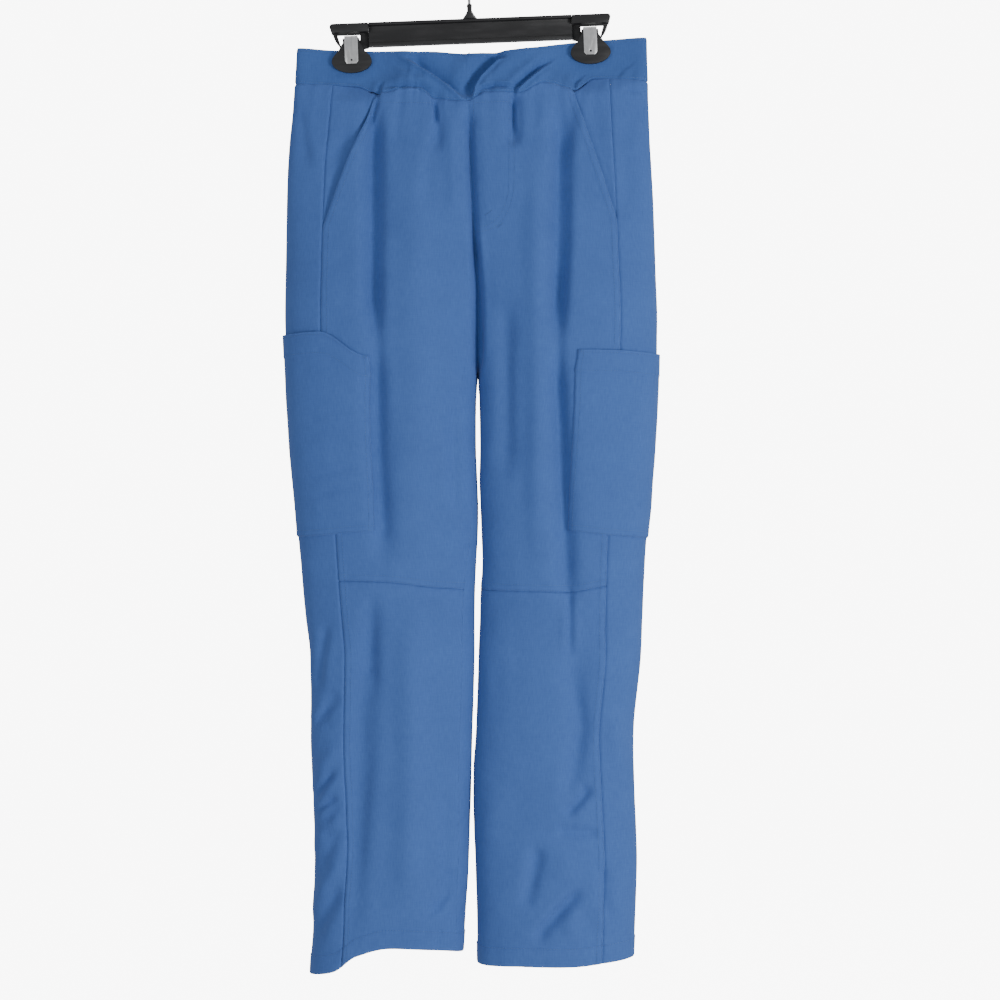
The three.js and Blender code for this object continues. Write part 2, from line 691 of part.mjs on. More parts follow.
// The cargo pocket's grid, from the front's first columns round the side panel on to the back
function cargoGrid({ front, back, sidePanel }) {
  const end = SIDE_STEPS.length - 1;
  return rowsBetween(CARGO_TOP_ROW, CARGO_FOOT_ROW).map((row) => [
    ...front[row].slice(1, CARGO_COLUMNS.front + 1).reverse(),
    meanPlace(front[row][0], sidePanel[row][0]),
    ...sidePanel[row].slice(1, end),
    meanPlace(sidePanel[row][end], back[row][0]),
    ...back[row].slice(1, CARGO_COLUMNS.back + 1),
  ]);
}

function cargoLift(across, down) {
  const swell = Math.sin(Math.PI * across) * Math.sin((Math.PI * (1 - down)) / 2) ** 0.5;
  return CARGO_LIFT + CLOTH + CARGO_BULGE * Math.max(0, swell);
}

// One half of the band on a face, over the columns of the panels below, from the silhouette inwards
function bandHalf(side, face, { front, back, sidePanel, mouth }) {
  const middle = (SIDE_STEPS.length - 1) / 2;
  const top = face === "front" ? sidePanel[0].slice(0, middle + 1).reverse() : sidePanel[0].slice(middle);
  const sewn = face === "front" ? [...top, ...mouth[0].slice(1), ...front[0]] : [...top, ...back[0].slice(1)];
  const sign = face === "front" ? -1 : 1;
  return sewn.map((place, i) => {
    const share = Math.abs(place.girth) / sectionAt(side, place.z)[face].total;
    const seamZ = place.z + SEAM_GAP;
    const seamX = sectionAt(side, place.z)[face].at(Math.abs(place.girth))[0];
    const topZ = along(TOP_ROWS, "x", seamX, face);
    const inward = i === 0 ? HALF_GAP : 0;
    return rowsBetween(0, BAND_ROWS).map((row) => {
      const z = mix(topZ, seamZ, row / BAND_ROWS);
      const length = Math.max(inward, share * sectionAt(side, z)[face].total);
      return clothPlace(side, sign * length, z);
    });
  });
}

// The band's grid runs from silhouette to silhouette across the centre
function bandGrid(face, leftGrids, rightGrids) {
  const left = bandHalf(LEFT, face, leftGrids);
  const right = bandHalf(RIGHT, face, rightGrids);
  const columns = [...left.slice(0, -1), ...right.reverse()];
  return rowsBetween(0, BAND_ROWS).map((row) => columns.map((column) => column[row]));
}

function named(geometry, name, meshMaterial) {
  const mesh = new THREE.Mesh(geometry, meshMaterial);
  mesh.name = name;
  return mesh;
}

function trousers() {
  const group = new THREE.Group();
  const cloth = () => material(COLOURS.cloth, 0.85, 0);
  const band = () => material(COLOURS.band, 0.85, 0);
  const grids = SIDES.map(({ side, name }) => panelGrids(side, name));
  for (const face of ["front", "back"]) {
    group.add(named(wall(bandGrid(face, ...grids), BAND_CLOTH), "waistband_" + face, band()));
  }
  SIDES.forEach(({ name }, i) => {
    const { front, back, sidePanel } = grids[i];
    const upper = panelPart(front, 0, KNEE_ROW);
    const lower = panelPart(front, KNEE_ROW, HEM_ROW);
    const facing = wall(facingGrid(grids[i]), CLOTH, () => -FACING_DEPTH);
    group.add(named(wall(upper, CLOTH, gapeOf(name)), name + "_front_upper", cloth()));
    group.add(named(wall(lower, CLOTH), name + "_front_lower", cloth()));
    for (const { name: length, first, last } of LENGTHS) {
      group.add(named(wall(panelPart(sidePanel, first, last), CLOTH), `${name}_side_panel_${length}`, cloth()));
      group.add(named(wall(panelPart(back, first, last), CLOTH), `${name}_back_${length}`, cloth()));
    }
    group.add(named(facing, name + "_pocket_facing", cloth()));
    group.add(named(wall(cargoGrid(grids[i]), CLOTH, cargoLift), name + "_cargo_pocket", cloth()));
  });
  return group;
}

// Solids for the cuts and joins
function solidOf(geometry) {
  const bare = geometry.index ? geometry.toNonIndexed() : geometry.clone();
  bare.deleteAttribute("normal");
  bare.deleteAttribute("uv");
  const merged = mergeVertices(bare, 1e-4);
  const mesh = new wasm.Mesh({
    numProp: 3,
    vertProperties: merged.getAttribute("position").array,
    triVerts: new Uint32Array(merged.getIndex().array),
  });
  return new wasm.Manifold(mesh);
}

function geometryOf(solid) {
  const mesh = solid.getMesh();
  const geometry = new THREE.BufferGeometry();
  geometry.setAttribute("position", new THREE.BufferAttribute(mesh.vertProperties, 3));
  geometry.setIndex(new THREE.BufferAttribute(mesh.triVerts, 1));
  geometry.computeVertexNormals();
  return geometry;
}

// An outline in (x, z) as a plate between two depths
function plate(shape, nearY, farY, segments = 10) {
  const geometry = new THREE.ExtrudeGeometry(shape, {
    depth: farY - nearY,
    bevelEnabled: false,
    curveSegments: segments,
  });
  const turn = new THREE.Matrix4().makeBasis(
    new THREE.Vector3(1, 0, 0),
    new THREE.Vector3(0, 0, 1),
    new THREE.Vector3(0, -1, 0),
  );
  return geometry.applyMatrix4(turn).translate(0, farY, 0);
}

// An outline in (y, z) drawn out along x, centred
function drawnAcross(shape, width, segments = 6) {
  const geometry = new THREE.ExtrudeGeometry(shape, {
    depth: width,
    bevelEnabled: false,
    curveSegments: segments,
  });
  const turn = new THREE.Matrix4().makeBasis(
    new THREE.Vector3(0, 1, 0),
    new THREE.Vector3(0, 0, 1),
    new THREE.Vector3(1, 0, 0),
  );
  return geometry.applyMatrix4(turn).translate(-width / 2, 0, 0);
}

function hangerBar() {
  const { top, foot, web, flange, flangeHeight, end, draft } = BAR;
  const section = new THREE.Shape();
  section.moveTo(-flange / 2, foot);
  section.lineTo(flange / 2, foot);
  section.lineTo(flange / 2, foot + flangeHeight);
  section.lineTo(web / 2, foot + flangeHeight + draft);
  section.lineTo(web / 2, top - flangeHeight - draft);
  section.lineTo(flange / 2, top - flangeHeight);
  section.lineTo(flange / 2, top);
  section.lineTo(-flange / 2, top);
  section.lineTo(-flange / 2, top - flangeHeight);
  section.lineTo(-web / 2, top - flangeHeight - draft);
  section.lineTo(-web / 2, foot + flangeHeight + draft);
  section.lineTo(-flange / 2, foot + flangeHeight);
  section.closePath();
  const bar = solidOf(drawnAcross(section, 2 * end));
  const profile = NECK_ROWS.map(({ radius, z }) => new THREE.Vector2(radius, z));
  const neck = new THREE.LatheGeometry(profile, NECK_SIDES).rotateX(Math.PI / 2);
  return geometryOf(bar.add(solidOf(faceOut(mergeVertices(stripped(neck), 1e-4)))));
}

function stripped(geometry) {
  geometry.deleteAttribute("normal");
  geometry.deleteAttribute("uv");
  return geometry;
}

function hook() {
  const { tipAngle, lastAngle, samples, lean, drop } = HOOK;
  const radius = HOOK.radius + WIRE_RADIUS;
  const points = evenShares(samples).map((share) => {
    const angle = THREE.MathUtils.degToRad(mix(tipAngle, lastAngle, share));
    return new THREE.Vector3(radius * Math.cos(angle), 0, radius * Math.sin(angle) - HOOK.radius);
  });
  const end = points[samples];
  const shankTop = new THREE.Vector3(0, 0, HOOK.shankTop);
  const path = new THREE.CurvePath();
  path.add(new THREE.CatmullRomCurve3(points));
  path.add(
    new THREE.CubicBezierCurve3(
      end,
      new THREE.Vector3(end.x - lean, 0, end.z - drop),
      new THREE.Vector3(0, 0, shankTop.z + lean),
      shankTop,
    ),
  );
  path.add(new THREE.LineCurve3(shankTop, new THREE.Vector3(0, 0, BORE.foot + SEAM_GAP)));
  const section = new THREE.Shape();
  for (let i = 0; i < WIRE_SIDES; i += 1) {
    const angle = (2 * Math.PI * i) / WIRE_SIDES;
    const at = [WIRE_RADIUS * Math.cos(angle), WIRE_RADIUS * Math.sin(angle)];
    if (i === 0) section.moveTo(...at);
    else section.lineTo(...at);
  }
  section.closePath();
  return new THREE.ExtrudeGeometry(section, { steps: WIRE_STEPS, extrudePath: path, bevelEnabled: false });
}

// The neck and oval foot that both jaws share, ending in the oval's outline
function footOutline(shape) {
  const { z, halfWidth, halfHeight, joinZ, flare, drop } = FOOT;
  const { across, up } = FOOT_SHOULDER;
  const start = Math.atan2(up, across);
  shape.quadraticCurveTo(FRAME.neck, joinZ + flare, FRAME.neck, joinZ);
  shape.quadraticCurveTo(FRAME.neck + flare, joinZ - drop, halfWidth * across, z + halfHeight * up);
  shape.absellipse(0, z, halfWidth, halfHeight, start, Math.PI - start, true);
  shape.quadraticCurveTo(-FRAME.neck - flare, joinZ - drop, -FRAME.neck, joinZ);
}

function clipJaw() {
  const shape = new THREE.Shape();
  shape.moveTo(-JAW.neck, JAW.top);
  shape.lineTo(JAW.neck, JAW.top);
  shape.lineTo(JAW.neck, JAW.neckFoot);
  footOutline(shape);
  shape.quadraticCurveTo(-FRAME.neck, FOOT.joinZ + FOOT.flare, -JAW.neck, JAW.neckFoot);
  shape.closePath();
  return plate(shape, -JAW.outer, -JAW.inner, FOOT_SEGMENTS);
}

// The end housing with the rear jaw. The clip is drawn for the right end, with +x outboard.
function clipFrame() {
  const { top, foot, inner, outer, corner, halfDepth, neck, draft, overlap } = FRAME;
  const block = new THREE.Shape();
  block.moveTo(-inner, foot);
  block.lineTo(outer - draft, foot);
  block.lineTo(outer, top - corner);
  block.quadraticCurveTo(outer, top, outer - corner, top);
  block.lineTo(-inner, top);
  block.closePath();
  const rear = new THREE.Shape();
  rear.moveTo(-inner, foot + overlap);
  rear.lineTo(outer - overlap, foot + overlap);
  rear.quadraticCurveTo(outer - corner, WINDOW.step, neck + overlap, JAW.neckFoot);
  footOutline(rear);
  rear.lineTo(-inner, BAR.foot);
  rear.closePath();
  const windowPath = new THREE.Path();
  windowPath.moveTo(WINDOW.left, WINDOW.top);
  windowPath.lineTo(WINDOW.left, WINDOW.step);
  windowPath.lineTo(WINDOW.right, WINDOW.step);
  windowPath.lineTo(WINDOW.right, WINDOW.foot);
  windowPath.lineTo(WINDOW.rightFoot, WINDOW.foot);
  windowPath.lineTo(WINDOW.rightTop, WINDOW.top);
  windowPath.closePath();
  rear.holes.push(windowPath);
  const body = solidOf(plate(block, -halfDepth, halfDepth));
  return geometryOf(body.add(solidOf(plate(rear, JAW.inner, JAW.outer, FOOT_SEGMENTS))));
}

function clipSpring() {
  const { width, thickness, face, top, foot, bend, chamfer } = SPRING;
  const out = face + thickness;
  const inBend = bend - thickness;
  const strip = new THREE.Shape();
  strip.moveTo(-out, foot);
  strip.lineTo(-out, top - bend);
  strip.absarc(-out + bend, top - bend, bend, Math.PI, Math.PI / 2, true);
  strip.lineTo(out - bend, top);
  strip.absarc(out - bend, top - bend, bend, Math.PI / 2, 0, true);
  strip.lineTo(out, foot);
  strip.lineTo(face, foot);
  strip.lineTo(face, top - bend);
  strip.absarc(out - bend, top - bend, inBend, 0, Math.PI / 2, false);
  strip.lineTo(-out + bend, top - thickness);
  strip.absarc(-out + bend, top - bend, inBend, Math.PI / 2, Math.PI, false);
  strip.lineTo(-face, foot);
  strip.closePath();
  const outline = new THREE.Shape();
  outline.moveTo(-width / 2, top + CUT_OVER);
  outline.lineTo(-width / 2, foot + chamfer);
  outline.lineTo(-width / 2 + chamfer * 0.7, foot);
  outline.lineTo(width / 2 - chamfer * 0.7, foot);
  outline.lineTo(width / 2, foot + chamfer);
  outline.lineTo(width / 2, top + CUT_OVER);
  outline.closePath();
  const hole = new THREE.Path();
  hole.absarc(0, SPRING_HOLE.z, SPRING_HOLE.radius, 0, 2 * Math.PI, false);
  outline.holes.push(hole);
  const bent = solidOf(drawnAcross(strip, width + CUT_OVER));
  return geometryOf(bent.intersect(solidOf(plate(outline, -out - CUT_OVER, out + CUT_OVER))));
}

function hanger() {
  const group = new THREE.Group();
  group.rotation.y = -TILT;
  const plastic = () => material(COLOURS.plastic, 0.45, 0);
  const steel = () => material(COLOURS.steel, 0.3, 1);
  group.add(named(hangerBar(), "hanger_bar", plastic()));
  group.add(named(hook(), "hanger_hook", steel()));
  for (const { side, name } of SIDES) {
    const clip = new THREE.Group();
    clip.position.x = side * CLIP_X;
    clip.scale.x = side;
    clip.add(named(clipFrame(), name + "_clip_frame", plastic()));
    clip.add(named(clipJaw(), name + "_clip_jaw", plastic()));
    clip.add(named(clipSpring(), name + "_clip_spring", steel()));
    group.add(clip);
  }
  return group;
}

const part = new THREE.Group();
part.add(trousers(), hanger());

export default part;
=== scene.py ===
"""Looks of the cargo scrub trousers on their clip hanger.

The frame is the solids' own: +Z up, the front facing -Y, and the origin at the inside top of the hook.
Sizes here are in millimetres, and meshes are in metres. Left and right are as seen from the front.
"""

import logging
import math
from collections.abc import Callable, Sequence
from dataclasses import dataclass, field
from enum import Enum

import bmesh
import bpy
import numpy as np
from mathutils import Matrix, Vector


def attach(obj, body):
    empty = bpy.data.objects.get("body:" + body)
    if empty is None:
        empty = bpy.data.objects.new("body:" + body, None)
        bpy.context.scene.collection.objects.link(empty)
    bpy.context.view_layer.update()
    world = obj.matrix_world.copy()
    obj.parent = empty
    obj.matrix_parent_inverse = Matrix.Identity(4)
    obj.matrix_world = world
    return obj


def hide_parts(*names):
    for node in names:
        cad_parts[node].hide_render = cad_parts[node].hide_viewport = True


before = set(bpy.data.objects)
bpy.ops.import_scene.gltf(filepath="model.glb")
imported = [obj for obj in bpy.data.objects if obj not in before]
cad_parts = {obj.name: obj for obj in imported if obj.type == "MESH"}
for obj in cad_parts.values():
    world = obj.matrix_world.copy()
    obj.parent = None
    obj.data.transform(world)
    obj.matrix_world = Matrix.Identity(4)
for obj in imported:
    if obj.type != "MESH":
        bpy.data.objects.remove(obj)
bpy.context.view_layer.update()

Array = np.ndarray
LOG = logging.getLogger("trousers")
MM = 0.001

# Sizes in millimetres. Seams are closer than on the solids, so that less light shows through them, and the
# two halves lap along the centre seam
SEAM_GAP = 0.08
HALF_GAP = SEAM_GAP / 2
CLOTH = 0.9
BAND_CLOTH = 2.2
CROTCH_Z = -468.0
EDGE_FADE = 24.0
CREASE_FADE = 9.0
CENTRE_HOLD = 12.0
CENTRE_LAP = 0.3
FOLD_ENDS = 0.22


class Side(Enum):
    """A half of the trousers, as seen from the front."""

    LEFT = -1
    RIGHT = 1

    @property
    def word(self) -> str:
        """The side's word in the pieces' names."""
        return self.name.lower()


class Face(Enum):
    """A face of the hanging trousers."""

    FRONT = "front"
    BACK = "back"


def mix(a: Array | float, b: Array | float, share: Array | float) -> Array | float:
    """A value a share of the way from a to b."""
    return a + (b - a) * share


def smooth(share: Array | float) -> Array:
    """A share from nought to one, eased at both ends."""
    t = np.clip(share, 0.0, 1.0)
    return t * t * (3.0 - 2.0 * t)


def bell(distance: Array, spread: float) -> Array:
    """A round hump over a distance, one at its middle."""
    return np.exp(-((distance / spread) ** 2))


def noise(u: Array, v: Array, seed: int) -> Array:
    """Smooth noise over a plane, from -1 to 1.

    Args:
        u: Places across, in lattice steps.
        v: Places down, in lattice steps.
        seed: Which of the patterns to give.

    Returns:
        The noise at each place.
    """
    i, j = np.floor(u), np.floor(v)
    s, t = smooth(u - i), smooth(v - j)

    def corner(a: Array, b: Array) -> Array:
        """The lattice's own value at a corner."""
        wave = np.sin(a * 127.1 + b * 311.7 + seed * 74.7) * 4375.85
        return (wave - np.floor(wave)) * 2.0 - 1.0

    top = mix(corner(i, j), corner(i + 1, j), s)
    return mix(top, mix(corner(i, j + 1), corner(i + 1, j + 1), s), t)


@dataclass(frozen=True)
class Table:
    """Rows of named columns, read along a smooth cubic through them."""

    columns: tuple[str, ...]
    rows: tuple[tuple[float, ...], ...]

    def read(self, column: str, place: Array) -> Array:
        """A column at places along the first one.

        Args:
            column: The column's name.
            place: Places along the first column.

        Returns:
            The value at each place, held level past both ends.
        """
        data = np.array(self.rows, float)
        data = data[np.argsort(data[:, 0])]
        keys, values = data[:, 0], data[:, self.columns.index(column)]
        slopes = np.diff(values) / np.diff(keys)
        before, after = np.r_[slopes[0], slopes], np.r_[slopes, slopes[-1]]
        total = np.where(before * after > 0, before + after, 1.0)
        tangents = np.where(before * after > 0, 2.0 * before * after / total, 0.0)
        here = np.clip(place, keys[0], keys[-1])
        i = np.clip(np.searchsorted(keys, here, "right") - 1, 0, len(keys) - 2)
        step = keys[i + 1] - keys[i]
        t = (here - keys[i]) / step
        rise = (2 * t**3 - 3 * t**2 + 1) * values[i] + (3 * t**2 - 2 * t**3) * values[i + 1]
        lean = (t**3 - 2 * t**2 + t) * tangents[i] + (t**3 - t**2) * tangents[i + 1]
        return rise + lean * step


# Section of the trousers from waist to hem, as in the solids: silhouettes, the distance to the side panel's
# seams, how far front and back stand out, and the power that squares the section
BODY = Table(
    ("z", "left", "right", "seam", "front", "back", "power"),
    (
        (-95, -187, 198, 42, 10, 12, 0.55),
        (-140, -189, 199, 42, 15, 16, 0.6),
        (-170, -191.5, 200, 42, 19, 20, 0.65),
        (-256, -198, 204.5, 42, 32, 34, 0.72),
        (-344, -200, 208, 42, 40, 44, 0.78),
        (-410, -201, 210, 42, 43, 47, 0.8),
        (-476, -198.5, 209, 43, 43, 46, 0.8),
        (-542, -195, 205.5, 43, 42, 43, 0.8),
        (-608, -189.5, 201.5, 44, 40, 41, 0.8),
        (-674, -184, 196, 43, 39, 39, 0.8),
        (-740, -178, 193.5, 42, 38, 38, 0.8),
        (-785, -173, 191.5, 40, 37, 37, 0.8),
        (-872, -173.5, 184, 39, 37, 37, 0.8),
        (-938, -170.5, 186, 38, 38, 38, 0.8),
        (-1004, -168.5, 188, 37, 38, 39, 0.8),
        (-1070, -169.5, 185, 36, 40, 40, 0.8),
        (-1135, -173, 182.5, 36, 41, 41, 0.8),
    ),
)
CENTRE = Table(
    ("z", "x"), ((-95, 2), (-168, 1.5), (-279, 4), (-334, 8.5), (-388, 12), (-468, 12))
)
INNER = Table(
    ("z", "left", "right", "inseam"),
    (
        (-468, 11.7, 12.3, 0),
        (-500, 9.3, 14.3, 1),
        (-542, 10, 14.2, 2),
        (-587, 11.8, 13.2, 4),
        (-620, 12.9, 14.4, 7),
        (-674, 11, 16.3, 10),
        (-718, 9, 14.3, 13),
        (-785, 8.8, 12, 14),
        (-872, 6.2, 8.8, 14),
        (-905, 5.2, 6.8, 14),
        (-938, 4.2, 6.8, 13),
        (-1026, 1, 9.8, 11),
        (-1092, -3.3, 11, 9),
        (-1135, -6, 11, 8),
    ),
)
TURN = Table(
    ("z", "front", "back"),
    (
        (-95, 90, 90),
        (-168, 92, 90),
        (-250, 104, 97),
        (-310, 124, 108),
        (-360, 143, 126),
        (-410, 160, 146),
        (-450, 171, 163),
        (-468, 180, 180),
    ),
)
# Lines across the cloth by x: waist top, band seam, pockets, knee seam and hems
TOP = Table(
    ("x", "front", "back"),
    (
        (-190, -110, -111),
        (-130, -113.5, -115),
        (-90, -114, -117),
        (0, -117, -119),
        (68, -111.5, -113),
        (102, -106, -108),
        (135, -102.7, -104),
        (200, -98.3, -99.3),
    ),
)
BAND_SEAM = Table(
    ("x", "front", "back"),
    (
        (-192, -150, -150),
        (-120, -153, -153),
        (-97, -161, -154),
        (-60, -157, -156),
        (-33, -168, -158),
        (0, -171, -158),
        (20, -161, -157),
        (57, -162, -154),
        (86, -150, -152),
        (119, -157, -150),
        (140, -144, -148),
        (200, -147, -147),
    ),
)
POCKETS = Table(
    ("x", "slash_foot", "cargo_top", "cargo_foot"),
    (
        (-201, -312, -428, -651),
        (-160, -312, -426, -648),
        (-110, -312, -452, -644),
        (0, -308, -450, -644),
        (105, -303, -446, -643),
        (150, -303, -446, -647),
        (210, -303, -449, -652),
    ),
)
KNEE = Table(
    ("x", "z"),
    ((-184, -697), (-96, -698), (-30, -705), (36, -708), (113, -709), (150, -703), (197, -700)),
)
HEM = Table(
    ("x", "front", "back"),
    (
        (-173, -1130, -1130),
        (-145, -1123, -1126),
        (-120, -1105, -1118),
        (-84, -1096, -1111),
        (-35, -1099, -1107),
        (-5, -1105, -1105),
        (11, -1118, -1118),
        (60, -1116, -1114),
        (110, -1116, -1112),
        (150, -1113, -1111),
        (183, -1110, -1110),
    ),
)


@dataclass(frozen=True)
class Fold:
    """A straight fold of the solids: a valley where its depth is below nought."""

    face: Face
    x1: float
    z1: float
    x2: float
    z2: float
    depth: float
    spread: float

    def height(self, x: Array, z: Array) -> Array:
        """How far the fold lifts the cloth at places on its face."""
        run = math.hypot(self.x2 - self.x1, self.z2 - self.z1)
        dx, dz = (self.x2 - self.x1) / run, (self.z2 - self.z1) / run
        share = ((x - self.x1) * dx + (z - self.z1) * dz) / run
        off = (x - self.x1) * dz - (z - self.z1) * dx
        ends = smooth(share / FOLD_ENDS) * smooth((1.0 - share) / FOLD_ENDS)
        return self.depth * ends * bell(off, self.spread)


FOLDS = tuple(
    Fold(face, *row)
    for face, rows in (
        (
            Face.FRONT,
            (
                (-103, -150, -101, -450, -14, 10),
                (-101, -420, -88, -690, -9, 13),
                (-104, -700, -128, -1050, -8, 14),
                (-60, -190, -50, -640, 4, 20),
                (-60, -700, -62, -1080, 4, 18),
                (-13, -1010, -36, -1060, -4, 8),
                (-33, -150, -32, -232, -4, 6),
                (2, -165, 9, -330, -7, 8),
                (52, -158, 50, -226, -7, 8),
                (104, -160, 97, -450, -14, 10),
                (96, -420, 111, -745, -11, 11),
                (74, -200, 76, -700, 4, 12),
                (42, -380, 44, -600, -5, 10),
                (119, -750, 122, -950, -6, 16),
                (94, -966, 146, -973, -3, 7),
                (128, -1028, 70, -1092, -5, 8),
                (80, -985, 62, -1056, -4, 8),
                (136, -918, 106, -955, -4, 7),
                (-160, -860, -142, -815, -3, 7),
                (-160, -985, -140, -930, -3, 7),
            ),
        ),
        (
            Face.BACK,
            (
                (-104, -150, -96, -420, -12, 11),
                (-94, -400, -108, -760, -8, 14),
                (-56, -180, -48, -600, 5, 19),
                (-44, -640, -62, -1000, -6, 13),
                (-110, -800, -96, -1090, 5, 15),
                (-16, -155, -12, -262, -5, 7),
                (26, -155, 30, -240, -6, 7),
                (108, -150, 98, -470, -13, 11),
                (99, -450, 116, -820, -8, 13),
                (66, -210, 62, -660, 5, 17),
                (54, -700, 70, -1040, -6, 12),
                (130, -830, 112, -1085, 4, 14),
            ),
        ),
    )
    for row in rows
)


@dataclass(frozen=True)
class Crease:
    """A fine crease along a bent line, with a lip on either side, wider on its left hand where it leans."""

    line: tuple[tuple[float, float], ...]
    depth: float
    spread: float
    lean: float = 1.0
    lip: float = 0.3

    def height(self, x: Array, z: Array) -> Array:
        """How far the crease lifts the cloth at places on its face."""
        points = np.array(self.line, float)
        runs = np.hypot(*np.diff(points, axis=0).T)
        before = np.r_[0.0, np.cumsum(runs)]
        total = before[-1]
        nearest = np.full(x.shape, 1e9)
        share = np.zeros(x.shape)
        spread = np.full(x.shape, self.spread)
        for (ax, az), (bx, bz), run, start in zip(points[:-1], points[1:], runs, before[:-1]):
            t = ((x - ax) * (bx - ax) + (z - az) * (bz - az)) / run**2
            far = np.hypot(x - mix(ax, bx, np.clip(t, 0, 1)), z - mix(az, bz, np.clip(t, 0, 1)))
            here = far < nearest
            nearest = np.where(here, far, nearest)
            share = np.where(here, (start + np.clip(t, 0, 1) * run) / total, share)
            left = (x - ax) * (bz - az) < (z - az) * (bx - ax)
            spread = np.where(here, self.spread * np.where(left, self.lean, 1.0), spread)
        ends = smooth((share + 0.04) / 0.3) * smooth((1.04 - share) / 0.3)
        lips = self.lip * bell(nearest - 2.1 * spread, spread)
        return self.depth * ends * (bell(nearest, spread) - lips)


BAND_CREASES = (
    Crease(((-74, -117), (-55, -128), (-37.4, -139), (-23.1, -149), (-8, -162), (1, -170)), -8.5, 1.8, 6.5),
    Crease(((-84.7, -123.6), (-72.6, -132.4), (-60.5, -138.6)), -2.0, 2.2, 2.5),
    Crease(((3.5, -172), (6, -156), (13, -143), (24, -131), (33, -122), (44, -120)), -9.5, 1.6, 6.0),
    Crease(((14, -158), (24, -146), (36, -133), (52, -124)), 1.6, 4.2),
    Crease(((50.5, -168), (54, -157), (66, -146), (82, -132), (102, -116.5)), -6.5, 1.5, 3.2),
    Crease(((66, -160), (78, -146), (94, -133)), 1.4, 4.0),
    Crease(((51, -158), (46, -154), (30, -153), (17, -157), (8, -166)), -3.6, 1.5, 2.6),
    Crease(((117, -160), (120, -149), (129, -139), (142, -132), (162, -129)), -6, 1.5, 3.4),
    Crease(((162, -146), (172, -134), (186, -124)), -2.4, 2.0, 2.5),
    Crease(((172, -157), (185, -159), (196, -158)), -1.6, 2.4),
    Crease(((-167, -148), (-143, -148), (-122, -148), (-110, -154), (-99, -167)), -3.8, 1.6, 2.6),
    Crease(((-98, -168), (-96, -158), (-93, -147)), -4.6, 1.6, 2.4),
    Crease(((-92, -154), (-68, -154.5), (-50, -155), (-40, -163), (-35, -172)), -3.8, 1.6, 2.6),
    Crease(((-46.2, -124.7), (-62.7, -151.1)), -1.2, 6),
    Crease(((-163.9, -126.9), (-150.7, -151.1)), -1, 7),
)
THIGH_CREASES = (
    Crease(((-36, -170), (-34, -184), (-33.5, -197)), -3.2, 2.0),
    Crease(((-33, -196.2), (-39.6, -240.2), (-44, -293)), -1.2, 7),
    Crease(((50.5, -166), (51, -184), (51.5, -210)), -2.8, 1.9),
    Crease(((-98, -166), (-101, -180), (-108, -200)), -2.6, 2.6),
    Crease(((-72.6, -164.3), (-78.1, -223.7)), -1, 6),
    Crease(((85.8, -164.3), (81.4, -207.2)), 1.2, 6),
    Crease(((118.8, -161), (114.4, -201.7), (104.5, -245.7)), -2, 6),
    Crease(((2, -172), (3, -210), (5, -260), (8, -310), (11.5, -366.7)), -3.6, 3.2),
    Crease(((6, -300), (9.5, -340), (12, -380), (13, -425), (12.5, -476)), -9, 4.2, lip=0.1),
    Crease(((-17.6, -176.4), (-15.4, -256.7), (-14.3, -308.4)), 1.6, 6),
    Crease(((60, -360), (54, -480), (50, -560), (42, -640)), 0.9, 9),
    Crease(((-15.4, -483.3), (-13.2, -577.9), (-9.9, -632.9)), -2.2, 6),
    Crease(((-100.1, -330), (-96, -453.6), (-97, -562.5), (-92, -640.6), (-94.6, -686.8)), -1.8, 6),
    Crease(((112, -215), (107.8, -322), (100, -400), (99.6, -487), (106, -580), (109, -660)), -1.7, 5.5),
    Crease(((-176, -205), (-166, -226), (-160, -250)), 1.6, 7),
    Crease(((-185, -178), (-178, -214), (-176, -240)), -1.8, 6),
    Crease(((-153, -240), (-141, -224), (-127, -205)), -1.6, 7),
    Crease(((172, -225), (176, -262), (170, -300)), -1.6, 8),
    Crease(((190, -190), (184, -230)), 1.4, 7),
)
POCKET_CREASES = (
    Crease(((-176, -586), (-150, -580), (-122, -575)), -0.9, 3.0),
    Crease(((-172.7, -604), (-140, -598), (-108, -590)), -0.9, 4),
    Crease(((-156.2, -521.8), (-112.2, -516.3)), 0.8, 4),
    Crease(((-185, -560), (-160, -548), (-140, -546)), 0.6, 6),
    Crease(((180, -620), (188, -600), (196, -588)), -0.9, 4),
    Crease(((176, -520), (190, -512)), 0.7, 5),
)
